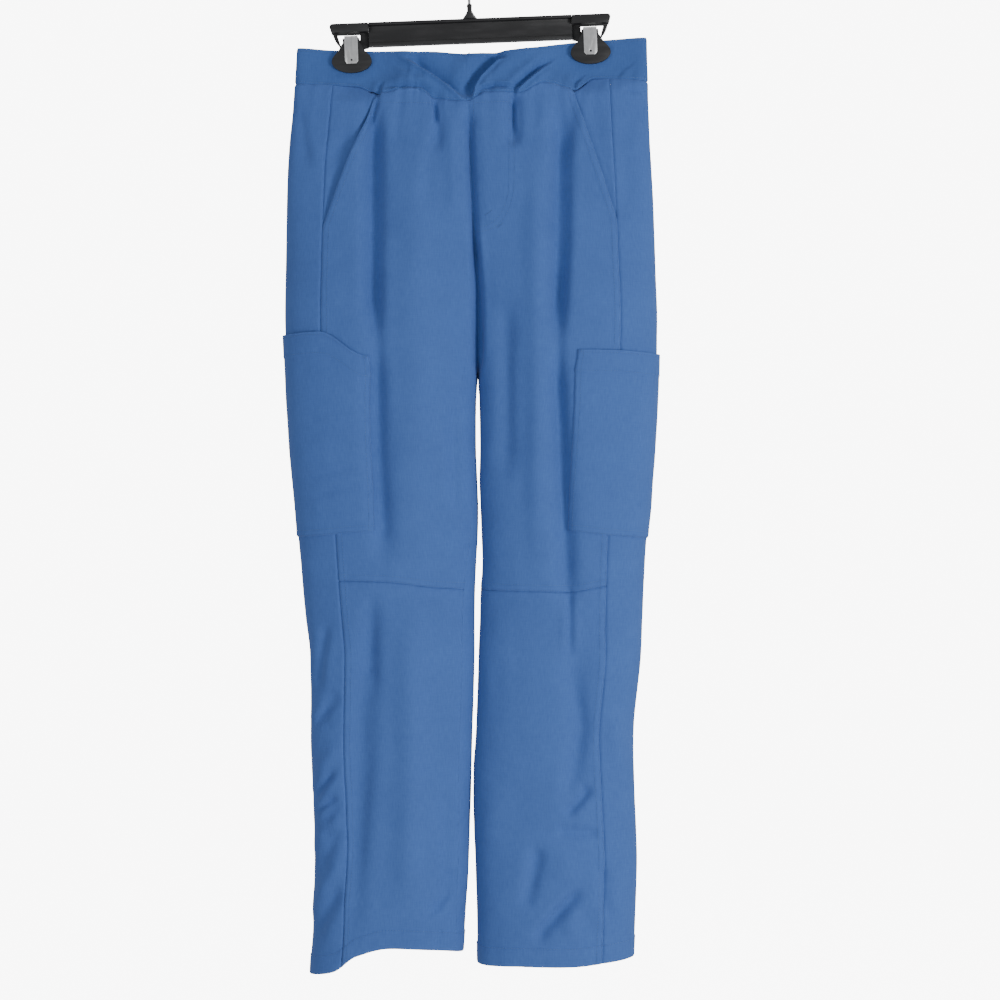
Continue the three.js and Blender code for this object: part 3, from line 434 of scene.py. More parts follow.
SHIN_CREASES = (
    Crease(((-152.9, -742.9), (-159.5, -779.2), (-165, -819.9)), -3, 5),
    Crease(((-148.5, -832), (-168.3, -857.3)), -2.5, 4),
    Crease(((-144.1, -903.5), (-168.3, -936.5)), -3.2, 3.5),
    Crease(((-140.8, -932.1), (-167.2, -951.9)), -3, 3),
    Crease(((-137.5, -967.3), (-165, -1013.5)), -3, 7),
    Crease(((-136.4, -1028.9), (-150.7, -1054.2), (-168.3, -1090.5)), -4, 7),
    Crease(((-141.9, -878.2), (-166.1, -911.2)), 2, 6),
    Crease(((-138.6, -951.9), (-163.9, -980.5)), 2, 5),
    Crease(((-136.4, -1000.3), (-163.9, -1046.5)), 2, 6),
    Crease(((-102.3, -705.5), (-104.5, -773.7), (-101.2, -828.7)), -2, 7),
    Crease(((-102.3, -850.7), (-108.9, -918.9), (-113.3, -973.9), (-121, -1050.9), (-124.3, -1097.1)),
           -1.5, 8),
    Crease(((-22, -912.3), (-22, -1023.4)), -2, 7),
    Crease(((-13.2, -1028.9), (-33, -1054.2), (-49.5, -1066.3)), -1.4, 3.4),
    Crease(((-26.4, -1075.1), (-34.1, -1093.8)), -2, 4),
    Crease(((-59.4, -727.5), (-59.4, -881.5), (-62.7, -989.3), (-64.9, -1066.3)), 2, 14),
    Crease(((-129.8, -797.9), (-115.5, -800.1), (-102.3, -793.5)), -1.2, 4),
    Crease(((111, -700), (112.2, -740), (112.2, -782.5)), -2.6, 3.6),
    Crease(((113.3, -789.1), (125.4, -857.3), (113.3, -912.3), (106.7, -949.7)), -2.5, 7),
    Crease(((159.5, -835.3), (168.3, -912.3)), 2, 8),
    Crease(((73.7, -970.6), (102.3, -971.7), (144.1, -969.5)), -1.2, 5),
    Crease(((75.9, -973.9), (70.4, -1044.3)), -1.3, 8),
    Crease(((125.4, -1032.2), (102.3, -1054.2), (75.9, -1081.7)), -1.6, 5),
    Crease(((148.5, -1001.4), (150.7, -1044.3), (159.5, -1075.1)), -2.5, 6),
    Crease(((106.7, -988.2), (104.5, -1024.5)), 1.6, 12),
    Crease(((118.8, -1054.2), (108.9, -1081.7)), 2, 8),
    Crease(((33, -912.3), (20.9, -989.3)), 1.5, 12),
    Crease(((135.3, -921.1), (122.1, -938.7), (108.9, -949.7)), -2, 4),
)


def read_rows(keys: Array, values: Array, place: Array) -> Array:
    """Reads one rising table for each place, straight between its entries.

    Args:
        keys: One row of rising keys for each place.
        values: The values that go with them.
        place: Where each row is read.

    Returns:
        The value for each place.
    """
    here = np.clip(place, 0.0, keys[:, -1])
    i = np.clip((keys[:, 1:-1] < here[:, None]).sum(axis=1), 0, keys.shape[1] - 2)
    row = np.arange(len(here))
    low, high = keys[row, i], keys[row, i + 1]
    share = (here - low) / np.maximum(high - low, 1e-9)
    return mix(values[row, i], values[row, i + 1], share)


@dataclass
class Arcs:
    """Half sections of one face, one for each place: from the silhouette round to the centre or inseam."""

    outer: Array
    inner: Array
    turn: Array
    depth: Array
    power: Array
    samples: int = 40
    angles: Array = field(init=False)
    lengths: Array = field(init=False)

    def __post_init__(self) -> None:
        """Measures each arc, with its samples packed at both ends."""
        steps = (1.0 - np.cos(np.pi * np.arange(self.samples + 1) / self.samples)) / 2.0
        self.angles = self.turn[:, None] * steps
        reach = (1.0 - np.cos(self.angles)) / (1.0 - np.cos(self.turn))[:, None]
        x = self.outer[:, None] + (self.inner - self.outer)[:, None] * reach
        y = self.depth[:, None] * np.maximum(np.sin(self.angles), 0.0) ** self.power[:, None]
        runs = np.hypot(np.diff(x, axis=1), np.diff(y, axis=1))
        self.lengths = np.concatenate([np.zeros((len(x), 1)), np.cumsum(runs, axis=1)], axis=1)

    @property
    def total(self) -> Array:
        """Each arc's whole length."""
        return self.lengths[:, -1]

    def at(self, length: Array) -> tuple[Array, Array]:
        """The place x and y at a length along each arc."""
        angle = read_rows(self.lengths, self.angles, length)
        x = self.outer + (self.inner - self.outer) * (1.0 - np.cos(angle)) / (1.0 - np.cos(self.turn))
        return x, self.depth * np.maximum(np.sin(angle), 0.0) ** self.power

    def length_at(self, x: Array) -> Array:
        """How far along each arc a place across lies."""
        cosine = 1.0 - (x - self.outer) / (self.inner - self.outer) * (1.0 - np.cos(self.turn))
        return read_rows(self.angles, self.lengths, np.arccos(np.clip(cosine, -1.0, 1.0)))


@dataclass
class Section:
    """One side's sections at a list of heights."""

    side: Side
    z: Array
    front: Arcs = field(init=False)
    back: Arcs = field(init=False)
    closed: Array = field(init=False)
    seam_x: Array = field(init=False)
    front_seam: Array = field(init=False)
    back_seam: Array = field(init=False)
    front_end: Array = field(init=False)

    def __post_init__(self) -> None:
        """Reads the tables at the heights."""
        z, word, sign = self.z, self.side.word, self.side.value
        self.closed = z <= CROTCH_Z
        outer, power = BODY.read(word, z), BODY.read("power", z)
        inner = np.where(self.closed, INNER.read(word, z), CENTRE.read("x", z) - sign * CENTRE_LAP)
        front_turn, back_turn = (
            np.radians(np.where(self.closed, 180.0, TURN.read(face.value, z))) for face in Face
        )
        self.front = Arcs(outer, inner, front_turn, -BODY.read("front", z), power)
        self.back = Arcs(outer, inner, back_turn, BODY.read("back", z), power)
        self.seam_x = outer - sign * BODY.read("seam", z)
        self.front_seam = self.front.length_at(self.seam_x)
        self.back_seam = self.back.length_at(self.seam_x)
        inseam = np.where(self.closed & (self.side is Side.LEFT), INNER.read("inseam", z), 0.0)
        reach = self.front.length_at(inner + sign * inseam)
        self.front_end = np.where(inseam > 0, reach, self.front.total)

    def on(self, girth: Array) -> tuple[Array, Array]:
        """Which face each girth lies on, and how far along it: girth is nought at the silhouette, below
        it on the front and above it on the back, and runs on past the inner edge on to the front.

        Args:
            girth: The girths to place.

        Returns:
            Whether each is on the front, and its length along that face's arc.
        """
        over = (girth > self.back.total) & self.closed
        front = (girth < 0) | over
        wrapped = self.front.total - (girth - self.back.total)
        length = np.where(over, wrapped, np.minimum(np.abs(girth), self.total_on(front)))
        return front, length

    def total_on(self, front: Array) -> Array:
        """The whole length of the arc on each one's face."""
        return np.where(front, self.front.total, self.back.total)

    def at(self, front: Array, length: Array) -> tuple[Array, Array]:
        """The place x and y at a length along each one's face."""
        fx, fy = self.front.at(length)
        bx, by = self.back.at(length)
        return np.where(front, fx, bx), np.where(front, fy, by)


@dataclass(frozen=True)
class Pinch:
    """Where the hanger's jaws press both layers of the band together."""

    centres: tuple[tuple[float, float], ...] = ((-127.03, -125.46), (136.28, -115.35))
    half_width: float = 31.0
    half_height: float = 21.0
    reach: float = 2.4
    face: float = 2.75

    def share(self, x: Array, z: Array) -> Array:
        """How fully the cloth is pressed, from nought to one."""
        pressed = np.zeros(np.shape(x))
        for cx, cz in self.centres:
            far = np.hypot((x - cx) / self.half_width, (z - cz) / self.half_height)
            pressed = np.maximum(pressed, 1.0 - smooth((far - 1.0) / (self.reach - 1.0)))
        return pressed


@dataclass(frozen=True)
class BandDent:
    """The slack front of the band, which leans back between the clips in a V."""

    x: float = 2.0
    top: float = -116.0
    foot: float = -174.0
    half_width: float = 62.0
    depth: float = 7.0

    def height(self, x: Array, z: Array) -> Array:
        """How far it moves the front of the band."""
        rise = smooth((z - self.foot) / (self.top - self.foot))
        across = np.abs(x - self.x) / (self.half_width * np.maximum(rise, 0.05))
        return -self.depth * rise * smooth(1.0 - across)


class Edge(Enum):
    """An edge of a sheet: start and end run down it, at its first and its last column."""

    START = "start"
    END = "end"
    TOP = "top"
    FOOT = "foot"


@dataclass
class Laid:
    """A grid of places on the cloth, in rows from the top, with how worn each one is."""

    points: Array
    normals: Array
    girth: Array
    front: Array
    worn: Array = field(init=False)
    hold: Array = field(init=False)

    def __post_init__(self) -> None:
        """Starts with cloth that isn't worn, and that nothing holds from moving sideways."""
        self.worn = np.zeros(self.girth.shape)
        self.hold = np.ones(self.girth.shape)

    def inward(self, edge: Edge, values: Array) -> Array:
        """Values of the grid, in lines that run in from an edge."""
        if edge in (Edge.TOP, Edge.FOOT):
            values = values.swapaxes(0, 1)
        return values[:, ::-1] if edge in (Edge.END, Edge.FOOT) else values

    def run(self, edge: Edge) -> Array:
        """How far in from an edge each place lies along the cloth, in lines that run in from it."""
        steps = np.linalg.norm(np.diff(self.inward(edge, self.points), axis=1), axis=2)
        return np.concatenate([np.zeros((len(steps), 1)), np.cumsum(steps, axis=1)], axis=1)

    def distance(self, edge: Edge) -> Array:
        """How far in from an edge each place of the grid lies."""
        run = self.run(edge)
        run = run[:, ::-1] if edge in (Edge.END, Edge.FOOT) else run
        return run.swapaxes(0, 1) if edge in (Edge.TOP, Edge.FOOT) else run

    def raised(self, height: Array) -> None:
        """Moves the cloth outwards by a height at each place, but not sideways at the centre seam."""
        moved = self.normals * height[..., None]
        moved[..., 0] *= self.hold
        self.points = self.points + moved

    def beside(self, edge: Edge, distance: float, first: float = 0.0,
               last: float = 1.0) -> tuple[Array, Array]:
        """A line at a distance in from an edge.

        Args:
            edge: The edge that it follows.
            distance: How far in it lies, in millimetres.
            first: The share of the edge where it starts.
            last: The share of the edge where it stops.

        Returns:
            The line's points and their normals.
        """
        run = self.run(edge)
        place = np.full(len(run), distance)
        points, normals = (
            np.stack([read_rows(run, self.inward(edge, values)[..., k], place) for k in range(3)], axis=1)
            for values in (self.points, self.normals)
        )
        keep = slice(round(first * (len(run) - 1)), round(last * (len(run) - 1)) + 1)
        return points[keep], normals[keep]

    def over(self, line: Sequence[tuple[float, float]], step: float = 1.5) -> tuple[Array, Array]:
        """A line drawn on the front of the cloth by its corners' x and z.

        Args:
            line: The corners.
            step: The distance between its points.

        Returns:
            The line's points and their normals.
        """
        corners = np.array(line, float)
        travelled = np.r_[0.0, np.cumsum(np.hypot(*np.diff(corners, axis=0).T))]
        places = np.linspace(0.0, travelled[-1], max(3, round(travelled[-1] / step)))
        x, z = (np.interp(places, travelled, corners[:, k]) for k in range(2))
        points, normals = self.points[self.front], self.normals[self.front]
        far = np.hypot(points[:, 0, None] - x, points[:, 2, None] - z)
        near = far.argmin(axis=0)
        point, out = points[near], normals[near]
        lean = out[:, 0] * (x - point[:, 0]) + out[:, 2] * (z - point[:, 2])
        return np.stack([x, point[:, 1] - lean / np.minimum(out[:, 1], -0.2), z], axis=1), out


@dataclass(frozen=True)
class Grid:
    """The lines of a sheet's grid: its columns between two edges, and its rows from the top."""

    columns: "Spacing"
    rows: "Spacing"

    @property
    def shape(self) -> tuple[int, int]:
        """Rows and columns."""
        return len(self.rows), len(self.columns)

    def across(self, start: Array, end: Array) -> Array:
        """Places of every column between two edges, for the whole grid."""
        return self.columns.place(start.reshape(self.shape), end.reshape(self.shape)).ravel()

    def down(self, top: Array, foot: Array) -> Array:
        """Places of every row between the top and the foot, for the whole grid."""
        return self.rows.place(top.reshape(self.shape).T, foot.reshape(self.shape).T).T.ravel()


class Seam(Enum):
    """A seam of the trousers, whose number picks the puckers that both its sides share."""

    BAND = 21
    SIDE_FRONT = 31
    SIDE_BACK = 41
    KNEE = 51
    CENTRE = 61
    PATCH = 71
    FREE = 81


@dataclass(frozen=True)
class SewnEdge:
    """How cloth lies along a sewn edge: rolled under at it, puckered, and raised where it is doubled."""

    roll: float = 1.15
    width: float = 1.5
    pucker: float = 0.34
    fade: float = 10.0
    ridge: float = 0.3
    ridge_width: float = 8.6
    wear: float = 0.4

    def dress(self, laid: Laid, edge: Edge, pinch: "Pinch", seam: Seam) -> None:
        """Shapes a sheet along one of its edges.

        Args:
            laid: The sheet's grid.
            edge: The edge.
            pinch: Where the cloth is pressed flat.
            seam: The seam that the edge is sewn in.
        """
        far = laid.distance(edge)
        x, z = laid.points[..., 0], laid.points[..., 2]
        along = z if edge in (Edge.START, Edge.END) else x
        waves = noise(along / 6.5, far / 16.0, seam.value)
        waves = waves + 0.5 * noise(along / 3.4, far / 9.0, seam.value + 1)
        height = self.pucker * waves * np.exp(-far / self.fade) - self.roll * bell(far, self.width)
        height += self.ridge * smooth((self.ridge_width - far) / 1.4)
        laid.raised(height * (1.0 - pinch.share(x, z)))
        laid.worn += self.wear * bell(far - 1.2, 1.0)


@dataclass
class Drape:
    """The cloth's shape over the section: the solids' folds, and the finer creases, gathers and slack."""

    creases: tuple[Crease, ...] = BAND_CREASES + THIGH_CREASES + SHIN_CREASES
    pinch: Pinch = field(default_factory=Pinch)
    dent: BandDent = field(default_factory=BandDent)
    gather_depth: float = 0.8
    gather_fade: float = 30.0
    slack_depth: float = 0.9
    rumple_depth: float = 0.28

    def outer_point(self, section: Section, girth: Array) -> Array:
        """Points of the solids' outer face.

        Args:
            section: The sections at the points' heights.
            girth: The points' girths.

        Returns:
            The points, one row each.
        """
        front, length = section.on(girth)
        x, y = section.at(front, length)
        ax, ay = section.at(front, length - 0.6)
        bx, by = section.at(front, length + 0.6)
        out = np.where(front, -1.0, 1.0) * section.side.value / np.maximum(np.hypot(bx - ax, by - ay), 1e-9)
        near = section.closed * (1.0 - smooth((section.total_on(front) - length) / EDGE_FADE))
        fade = smooth(length / EDGE_FADE) * (1.0 - near)
        lift = np.zeros(len(x))
        for fold in FOLDS:
            lift += fold.height(x, section.z) * (front == (fold.face is Face.FRONT))
        lift = lift * fade + np.where(front, self.dent.height(x, section.z), 0.0)
        hold = np.where(section.closed, 1.0, smooth((section.total_on(front) - length) / CENTRE_HOLD))
        moved = np.stack([x + (by - ay) * out * lift * hold, y - (bx - ax) * out * lift, section.z], axis=1)
        pressed = self.pinch.share(moved[:, 0], section.z)
        moved[:, 1] = mix(moved[:, 1], np.sign(y) * self.pinch.face, pressed)
        return moved

    def fine_height(self, points: Array, front: Array, edge: Array) -> Array:
        """What the dressed cloth adds to the solids' outer face.

        Args:
            points: Places on the outer face.
            front: Whether each is on the front.
            edge: How far each is from the silhouette.

        Returns:
            The height added along the normal.
        """
        x, y, z = points.T
        height = np.zeros(x.shape)
        for crease in self.creases:
            height += crease.height(x, z)
        height *= front * smooth(edge / CREASE_FADE)
        around = x - 0.7 * y
        seam = np.where(front, BAND_SEAM.read("front", x), BAND_SEAM.read("back", x))
        below = seam - z
        pleats = noise(around / 7.5, below / 70.0, 3) + 0.6 * noise(around / 3.6, below / 45.0, 5)
        height += self.gather_depth * pleats * np.exp(-np.abs(below) / self.gather_fade)
        height += self.slack_depth * noise(around / 46.0 + 9.0, z / 120.0, 7)
        height += self.rumple_depth * noise(around / 13.0, z / 31.0, 11)
        return height * (1.0 - self.pinch.share(x, z))

    def lay(self, side: Side, girth_at: Callable[[Section], Array],
            height_at: Callable[[Array, Array], Array], shape: tuple[int, int]) -> Laid:
        """Lays a grid on the cloth. Heights depend on where a place is across, so it takes three passes.

        Args:
            side: The half of the trousers.
            girth_at: Gives the girths of the whole grid for its sections.
            height_at: Gives the heights for whether each place is on the front, and its x.
            shape: Rows and columns.

        Returns:
            The grid.
        """
        count = shape[0] * shape[1]
        front = np.ones(count, bool)
        z = height_at(front, np.full(count, side.value * 100.0))
        for _ in range(3):
            section = Section(side, z)
            girth = girth_at(section)
            front, length = section.on(girth)
            x, _y = section.at(front, length)
            z = height_at(front, x)
        section = Section(side, z)
        girth = girth_at(section)
        front, length = section.on(girth)
        points = self.outer_point(section, girth).reshape(*shape, 3)
        across = np.gradient(points, axis=1)
        down = np.gradient(points, axis=0)
        normals = np.cross(across, down)
        normals /= np.maximum(np.linalg.norm(normals, axis=2, keepdims=True), 1e-12)
        outward = np.where(front.reshape(shape), -1.0, 1.0)
        if (normals[..., 1] * outward).sum() < 0:
            normals = -normals
        laid = Laid(points, normals, girth.reshape(shape), front.reshape(shape))
        inner = np.where(section.closed, CENTRE_HOLD, section.total_on(front) - length).reshape(shape)
        laid.hold = smooth(inner / CENTRE_HOLD)
        laid.raised(self.fine_height(points.reshape(-1, 3), front, length).reshape(shape))
        return laid


@dataclass(frozen=True)
class Spacing:
    """How a grid's lines lie between two edges: each a share of the way and an offset."""

    shares: Array
    offsets: Array

    @classmethod
    def between(cls, count: int, start: Sequence[float], end: Sequence[float]) -> "Spacing":
        """Lines packed at both edges and even between.

        Args:
            count: Steps in the even part.
            start: Distances from the first edge, rising from nought.
            end: Distances from the last edge, rising from nought.

        Returns:
            The spacing.
        """
        t = np.linspace(0.0, 1.0, count + 1)[1:-1]
        shares = np.r_[np.zeros(len(start)), t, np.ones(len(end))]
        offsets = np.r_[start, start[-1] * (1.0 - t) - end[-1] * t, -np.array(end[::-1])]
        return cls(shares, offsets)

    def __len__(self) -> int:
        """How many lines there are."""
        return len(self.shares)

    def place(self, start: Array, end: Array) -> Array:
        """The lines' places between two edges, squeezed where there is little room."""
        width = end - start
        reach = np.abs(self.offsets).max() * 2.2
        squeeze = np.minimum(1.0, np.abs(width) / max(reach, 1e-9))
        return mix(start, end, self.shares) + np.sign(width) * self.offsets * squeeze


SEAM_STEPS = (0.0, 0.45, 0.9, 1.5, 2.3, 3.4, 5.0, 7.2)
ROUND_STEPS = (0.0, 0.5, 1.1, 1.9, 3.0, 4.5)
HEM_DEPTH = 22.0
HEM_STEPS = (0.0, 0.5, 1.2, 3.0, 8.0, 14.0, 19.0, HEM_DEPTH - 1.2, HEM_DEPTH - 0.4, HEM_DEPTH + 0.4,
             HEM_DEPTH + 1.2, HEM_DEPTH + 2.6)


def cloth_mesh(name: str, laid: Laid, thickness: float) -> bpy.types.Object:
    """A sheet of cloth over a grid of places, with a metric UV map along the cloth.

    Args:
        name: The piece's name.
        laid: The grid, in millimetres.
        thickness: The cloth's thickness in millimetres, laid inwards.

    Returns:
        The piece.
    """
    rows, columns = laid.girth.shape
    form = bmesh.new()
    bmesh.ops.create_grid(form, x_segments=columns - 1, y_segments=rows - 1, size=1.0, calc_uvs=True)
    mesh = bpy.data.meshes.new(name)
    form.to_mesh(mesh)
    form.free()
    flat = np.empty(len(mesh.vertices) * 3, np.float32)
    mesh.vertices.foreach_get("co", flat)
    flat = flat.reshape(-1, 3)
    i = np.rint((flat[:, 0] + 1.0) / 2.0 * (columns - 1)).astype(int)
    j = np.rint((flat[:, 1] + 1.0) / 2.0 * (rows - 1)).astype(int)
    mesh.vertices.foreach_set("co", (laid.points[j, i] * MM).astype(np.float32).ravel())
    corners = np.empty(len(mesh.loops), np.int32)
    mesh.loops.foreach_get("vertex_index", corners)
    across = laid.girth[j, i][corners] * MM
    up = laid.points[j, i, 2][corners] * MM
    layer = mesh.uv_layers[0] if mesh.uv_layers else mesh.uv_layers.new(name="UVMap")
    layer.uv.foreach_set("vector", np.stack([across, up], axis=1).astype(np.float32).ravel())
    worn = mesh.attributes.new("seam", "FLOAT", "POINT")
    worn.data.foreach_set("value", np.clip(laid.worn[j, i], 0.0, 1.0).astype(np.float32))
    mesh.update()
    facing = np.empty(len(mesh.vertices) * 3, np.float32)
    mesh.vertices.foreach_get("normal", facing)
    if (facing.reshape(-1, 3) * laid.normals[j, i]).sum() < 0:
        mesh.flip_normals()
    mesh.shade_smooth()
    piece = bpy.data.objects.new(name, mesh)
    bpy.context.scene.collection.objects.link(piece)
    wall = piece.modifiers.new("wall", "SOLIDIFY")
    wall.thickness = thickness * MM
    wall.offset = -1.0
    return piece


class Board:
    """A material's nodes, added and joined in one call each."""

    def __init__(self, name: str) -> None:
        """Starts a material with its shader and output.

        Args:
            name: The material's name.
        """
        self.material = bpy.data.materials.new(name)
        self.material.use_nodes = True
        self.nodes = self.material.node_tree.nodes
        self.links = self.material.node_tree.links
        self.shader = self.nodes["Principled BSDF"]

    def add(self, kind: str, settings: dict[str, object] | None = None, **inputs: object) -> bpy.types.Node:
        """Adds a node.

        Args:
            kind: The node's type name.
            settings: Its own settings.
            inputs: Its sockets by name, with spaces as underscores: numbers are set and sockets are joined.

        Returns:
            The node.
        """
        node = self.nodes.new(kind)
        for key, value in (settings or {}).items():
            setattr(node, key, value)
        for key, value in inputs.items():
            self.feed(node.inputs[key.replace("_", " ")], value)
        return node

    def feed(self, socket: bpy.types.NodeSocket, value: object) -> None:
        """Sets a socket to a value, or joins another socket to it."""
        if isinstance(value, bpy.types.NodeSocket):
            self.links.new(value, socket)
        else:
            socket.default_value = value

    def stretched(self, source: bpy.types.NodeSocket,
                  scale: tuple[float, float, float]) -> bpy.types.NodeSocket:
        """Coordinates drawn out by a scale."""
        return self.add("ShaderNodeMapping", Vector=source, Scale=scale).outputs["Vector"]

    def grain(self, source: bpy.types.NodeSocket, scale: float, detail: float) -> bpy.types.NodeSocket:
        """Noise from nought to one over some coordinates."""
        node = self.add("ShaderNodeTexNoise", Vector=source, Scale=scale, Detail=detail, Roughness=0.6)
        return node.outputs["Fac"]

    def ranged(self, value: bpy.types.NodeSocket, low: float, high: float,
               to_low: float, to_high: float) -> bpy.types.NodeSocket:
        """A value stretched from one range to another."""
        node = self.add("ShaderNodeMapRange", Value=value, From_Min=low, From_Max=high, To_Min=to_low,
                        To_Max=to_high)
        return node.outputs["Result"]

    def sums(self, operation: str, a: object, b: object) -> bpy.types.NodeSocket:
        """Two values added, multiplied or otherwise put together."""
        node = self.add("ShaderNodeMath", {"operation": operation})
        self.feed(node.inputs[0], a)
        self.feed(node.inputs[1], b)
        return node.outputs[0]

    def blended(self, share: object, a: object, b: object) -> bpy.types.NodeSocket:
        """A colour between two."""
        node = self.add("ShaderNodeMix", {"data_type": "RGBA"})
        self.feed(node.inputs["Factor"], share)
        self.feed(node.inputs[6], a)
        self.feed(node.inputs[7], b)
        return node.outputs[2]


@dataclass(frozen=True)
class ClothFinish:
    """Plain-woven cloth with a faint heather: fine slubs down it and across it, and paler worn seams."""

    name: str
    light: tuple[float, float, float, float]
    dark: tuple[float, float, float, float]
    yarn: float = 0.00085
    relief: float = 0.00022
    worn_gain: float = 1.12
    worn_lift: float = 0.004

    def material(self) -> bpy.types.Material:
        """The cloth's material, which reads the piece's own UV map and its seam attribute."""
        board = Board(self.name)
        along = board.add("ShaderNodeUVMap", {"uv_map": "UVMap"}).outputs["UV"]
        down = board.grain(board.stretched(along, (900.0, 95.0, 1.0)), 1.0, 2.0)
        across = board.grain(board.stretched(along, (85.0, 800.0, 1.0)), 1.0, 2.0)
        mottle = board.grain(along, 21.0, 3.0)
        slubs = board.sums("ADD", board.ranged(down, 0.3, 0.7, 0.0, 0.5),
                           board.ranged(across, 0.3, 0.7, 0.0, 0.28))
        share = board.sums("ADD", slubs, board.ranged(mottle, 0.3, 0.7, -0.12, 0.26))
        cloth = board.blended(share, self.dark, self.light)
        seam = board.add("ShaderNodeAttribute", {"attribute_name": "seam"}).outputs["Fac"]
        worn = tuple(min(1.0, c * self.worn_gain + self.worn_lift) for c in self.light[:3]) + (1.0,)
        patches = board.ranged(board.grain(along, 260.0, 2.0), 0.35, 0.75, 0.0, 0.6)
        patchy = board.sums("MULTIPLY", seam, patches)
        board.feed(board.shader.inputs["Base Color"], board.blended(patchy, cloth, worn))
        board.feed(board.shader.inputs["Roughness"], board.ranged(mottle, 0.3, 0.7, 0.78, 0.9))
        turns = 0.31416 / self.yarn
        waves = [
            board.add("ShaderNodeTexWave", {"wave_type": "BANDS", "bands_direction": direction}, Vector=along,
                      Scale=turns, Distortion=0.6, Detail=1.0).outputs["Fac"]
            for direction in ("X", "Y")
        ]
        weave = board.sums("MULTIPLY", waves[0], waves[1])
        rumple = board.grain(along, 95.0, 3.0)
        height = board.sums("ADD", weave, board.sums("MULTIPLY", rumple, 2.4))
        bump = board.add("ShaderNodeBump", Strength=0.55, Distance=self.relief, Height=height)
        board.feed(board.shader.inputs["Normal"], bump.outputs["Normal"])
        board.shader.inputs["Sheen Weight"].default_value = 0.1
        board.shader.inputs["Sheen Roughness"].default_value = 0.45
        board.shader.inputs["Specular IOR Level"].default_value = 0.22
        return board.material


@dataclass(frozen=True)
class ThreadFinish:
    """Twisted sewing thread of the cloth's colour."""

    name: str
    colour: tuple[float, float, float, float]

    def material(self) -> bpy.types.Material:
        """The thread's material, with its twist."""
        board = Board(self.name)
        place = board.add("ShaderNodeTexCoord").outputs["Object"]
        shade = board.grain(place, 700.0, 2.0)
        deep = tuple(c * 0.72 for c in self.colour[:3]) + (1.0,)
        board.feed(board.shader.inputs["Base Color"], board.blended(shade, deep, self.colour))
        twist = board.add("ShaderNodeTexWave", {"bands_direction": "DIAGONAL"}, Vector=place, Scale=620.0)
        bump = board.add("ShaderNodeBump", Strength=0.4, Distance=0.0001, Height=twist.outputs["Fac"])
        board.feed(board.shader.inputs["Normal"], bump.outputs["Normal"])
        board.shader.inputs["Roughness"].default_value = 0.6
        board.shader.inputs["Sheen Weight"].default_value = 0.15
        return board.material


@dataclass(frozen=True)
class PlasticFinish:
    """Moulded satin plastic with a fine grain and light rubs."""

    name: str
    colour: tuple[float, float, float, float]

    def material(self) -> bpy.types.Material:
        """The plastic's material."""
        board = Board(self.name)
        place = board.add("ShaderNodeTexCoord").outputs["Object"]
        rubs = board.grain(board.stretched(place, (30.0, 90.0, 160.0)), 1.0, 4.0)
        pale = tuple(min(1.0, c * 1.9 + 0.006) for c in self.colour[:3]) + (1.0,)
        board.feed(board.shader.inputs["Base Color"],
                   board.blended(board.ranged(rubs, 0.45, 0.8, 0.0, 0.7), self.colour, pale))
        board.feed(board.shader.inputs["Roughness"], board.ranged(rubs, 0.3, 0.75, 0.34, 0.52))
        bump = board.add("ShaderNodeBump", Strength=0.35, Distance=0.00006,
                         Height=board.grain(place, 1900.0, 3.0))
        board.feed(board.shader.inputs["Normal"], bump.outputs["Normal"])
        return board.material


@dataclass(frozen=True)
class MetalFinish:
    """Plated steel, drawn or brushed one way."""

    name: str
    colour: tuple[float, float, float, float]
    brush: tuple[float, float, float]
    low: float
    high: float

    def material(self) -> bpy.types.Material:
        """The metal's material."""
        board = Board(self.name)
        place = board.add("ShaderNodeTexCoord").outputs["Object"]
        lines = board.grain(board.stretched(place, self.brush), 1.0, 3.0)
        stain = board.grain(place, 160.0, 4.0)
        dull = tuple(c * 0.72 for c in self.colour[:3]) + (1.0,)
        board.feed(board.shader.inputs["Base Color"],
                   board.blended(board.ranged(stain, 0.35, 0.75, 1.0, 0.3), dull, self.colour))
        board.feed(board.shader.inputs["Roughness"], board.ranged(lines, 0.25, 0.75, self.low, self.high))
        bump = board.add("ShaderNodeBump", Strength=0.3, Distance=0.00004, Height=lines)
        board.feed(board.shader.inputs["Normal"], bump.outputs["Normal"])
        board.shader.inputs["Metallic"].default_value = 1.0
        return board.material


class Slot(Enum):
    """The record's material slots."""

    CLOTH = "cloth"
    BAND = "waistband"
    PLASTIC = "hanger_plastic"
    STEEL = "clip_steel"
    WIRE = "hook_wire"


@dataclass
class Wardrobe:
    """Every finish of the object, each made once."""

    cloth: bpy.types.Material = field(default_factory=lambda: ClothFinish(
        "scrub_cloth", (0.066, 0.15, 0.43, 1.0), (0.047, 0.1145, 0.35, 1.0)).material())
    # The band's cloth is the trousers' cloth made darker: painted shade for the less light that falls on the
    # top of the trousers.
    band: bpy.types.Material = field(default_factory=lambda: ClothFinish(
        "band_cloth", (0.055, 0.134, 0.385, 1.0), (0.039, 0.102, 0.312, 1.0)).material())
    thread: bpy.types.Material = field(default_factory=lambda: ThreadFinish(
        "blue_thread", (0.056, 0.142, 0.39, 1.0)).material())
    plastic: bpy.types.Material = field(default_factory=lambda: PlasticFinish(
        "black_plastic", (0.012, 0.012, 0.013, 1.0)).material())
    steel: bpy.types.Material = field(default_factory=lambda: MetalFinish(
        "clip_steel", (0.78, 0.78, 0.78, 1.0), (900.0, 900.0, 40.0), 0.24, 0.4).material())
    wire: bpy.types.Material = field(default_factory=lambda: MetalFinish(
        "plated_wire", (0.7, 0.7, 0.71, 1.0), (500.0, 500.0, 60.0), 0.14, 0.26).material())


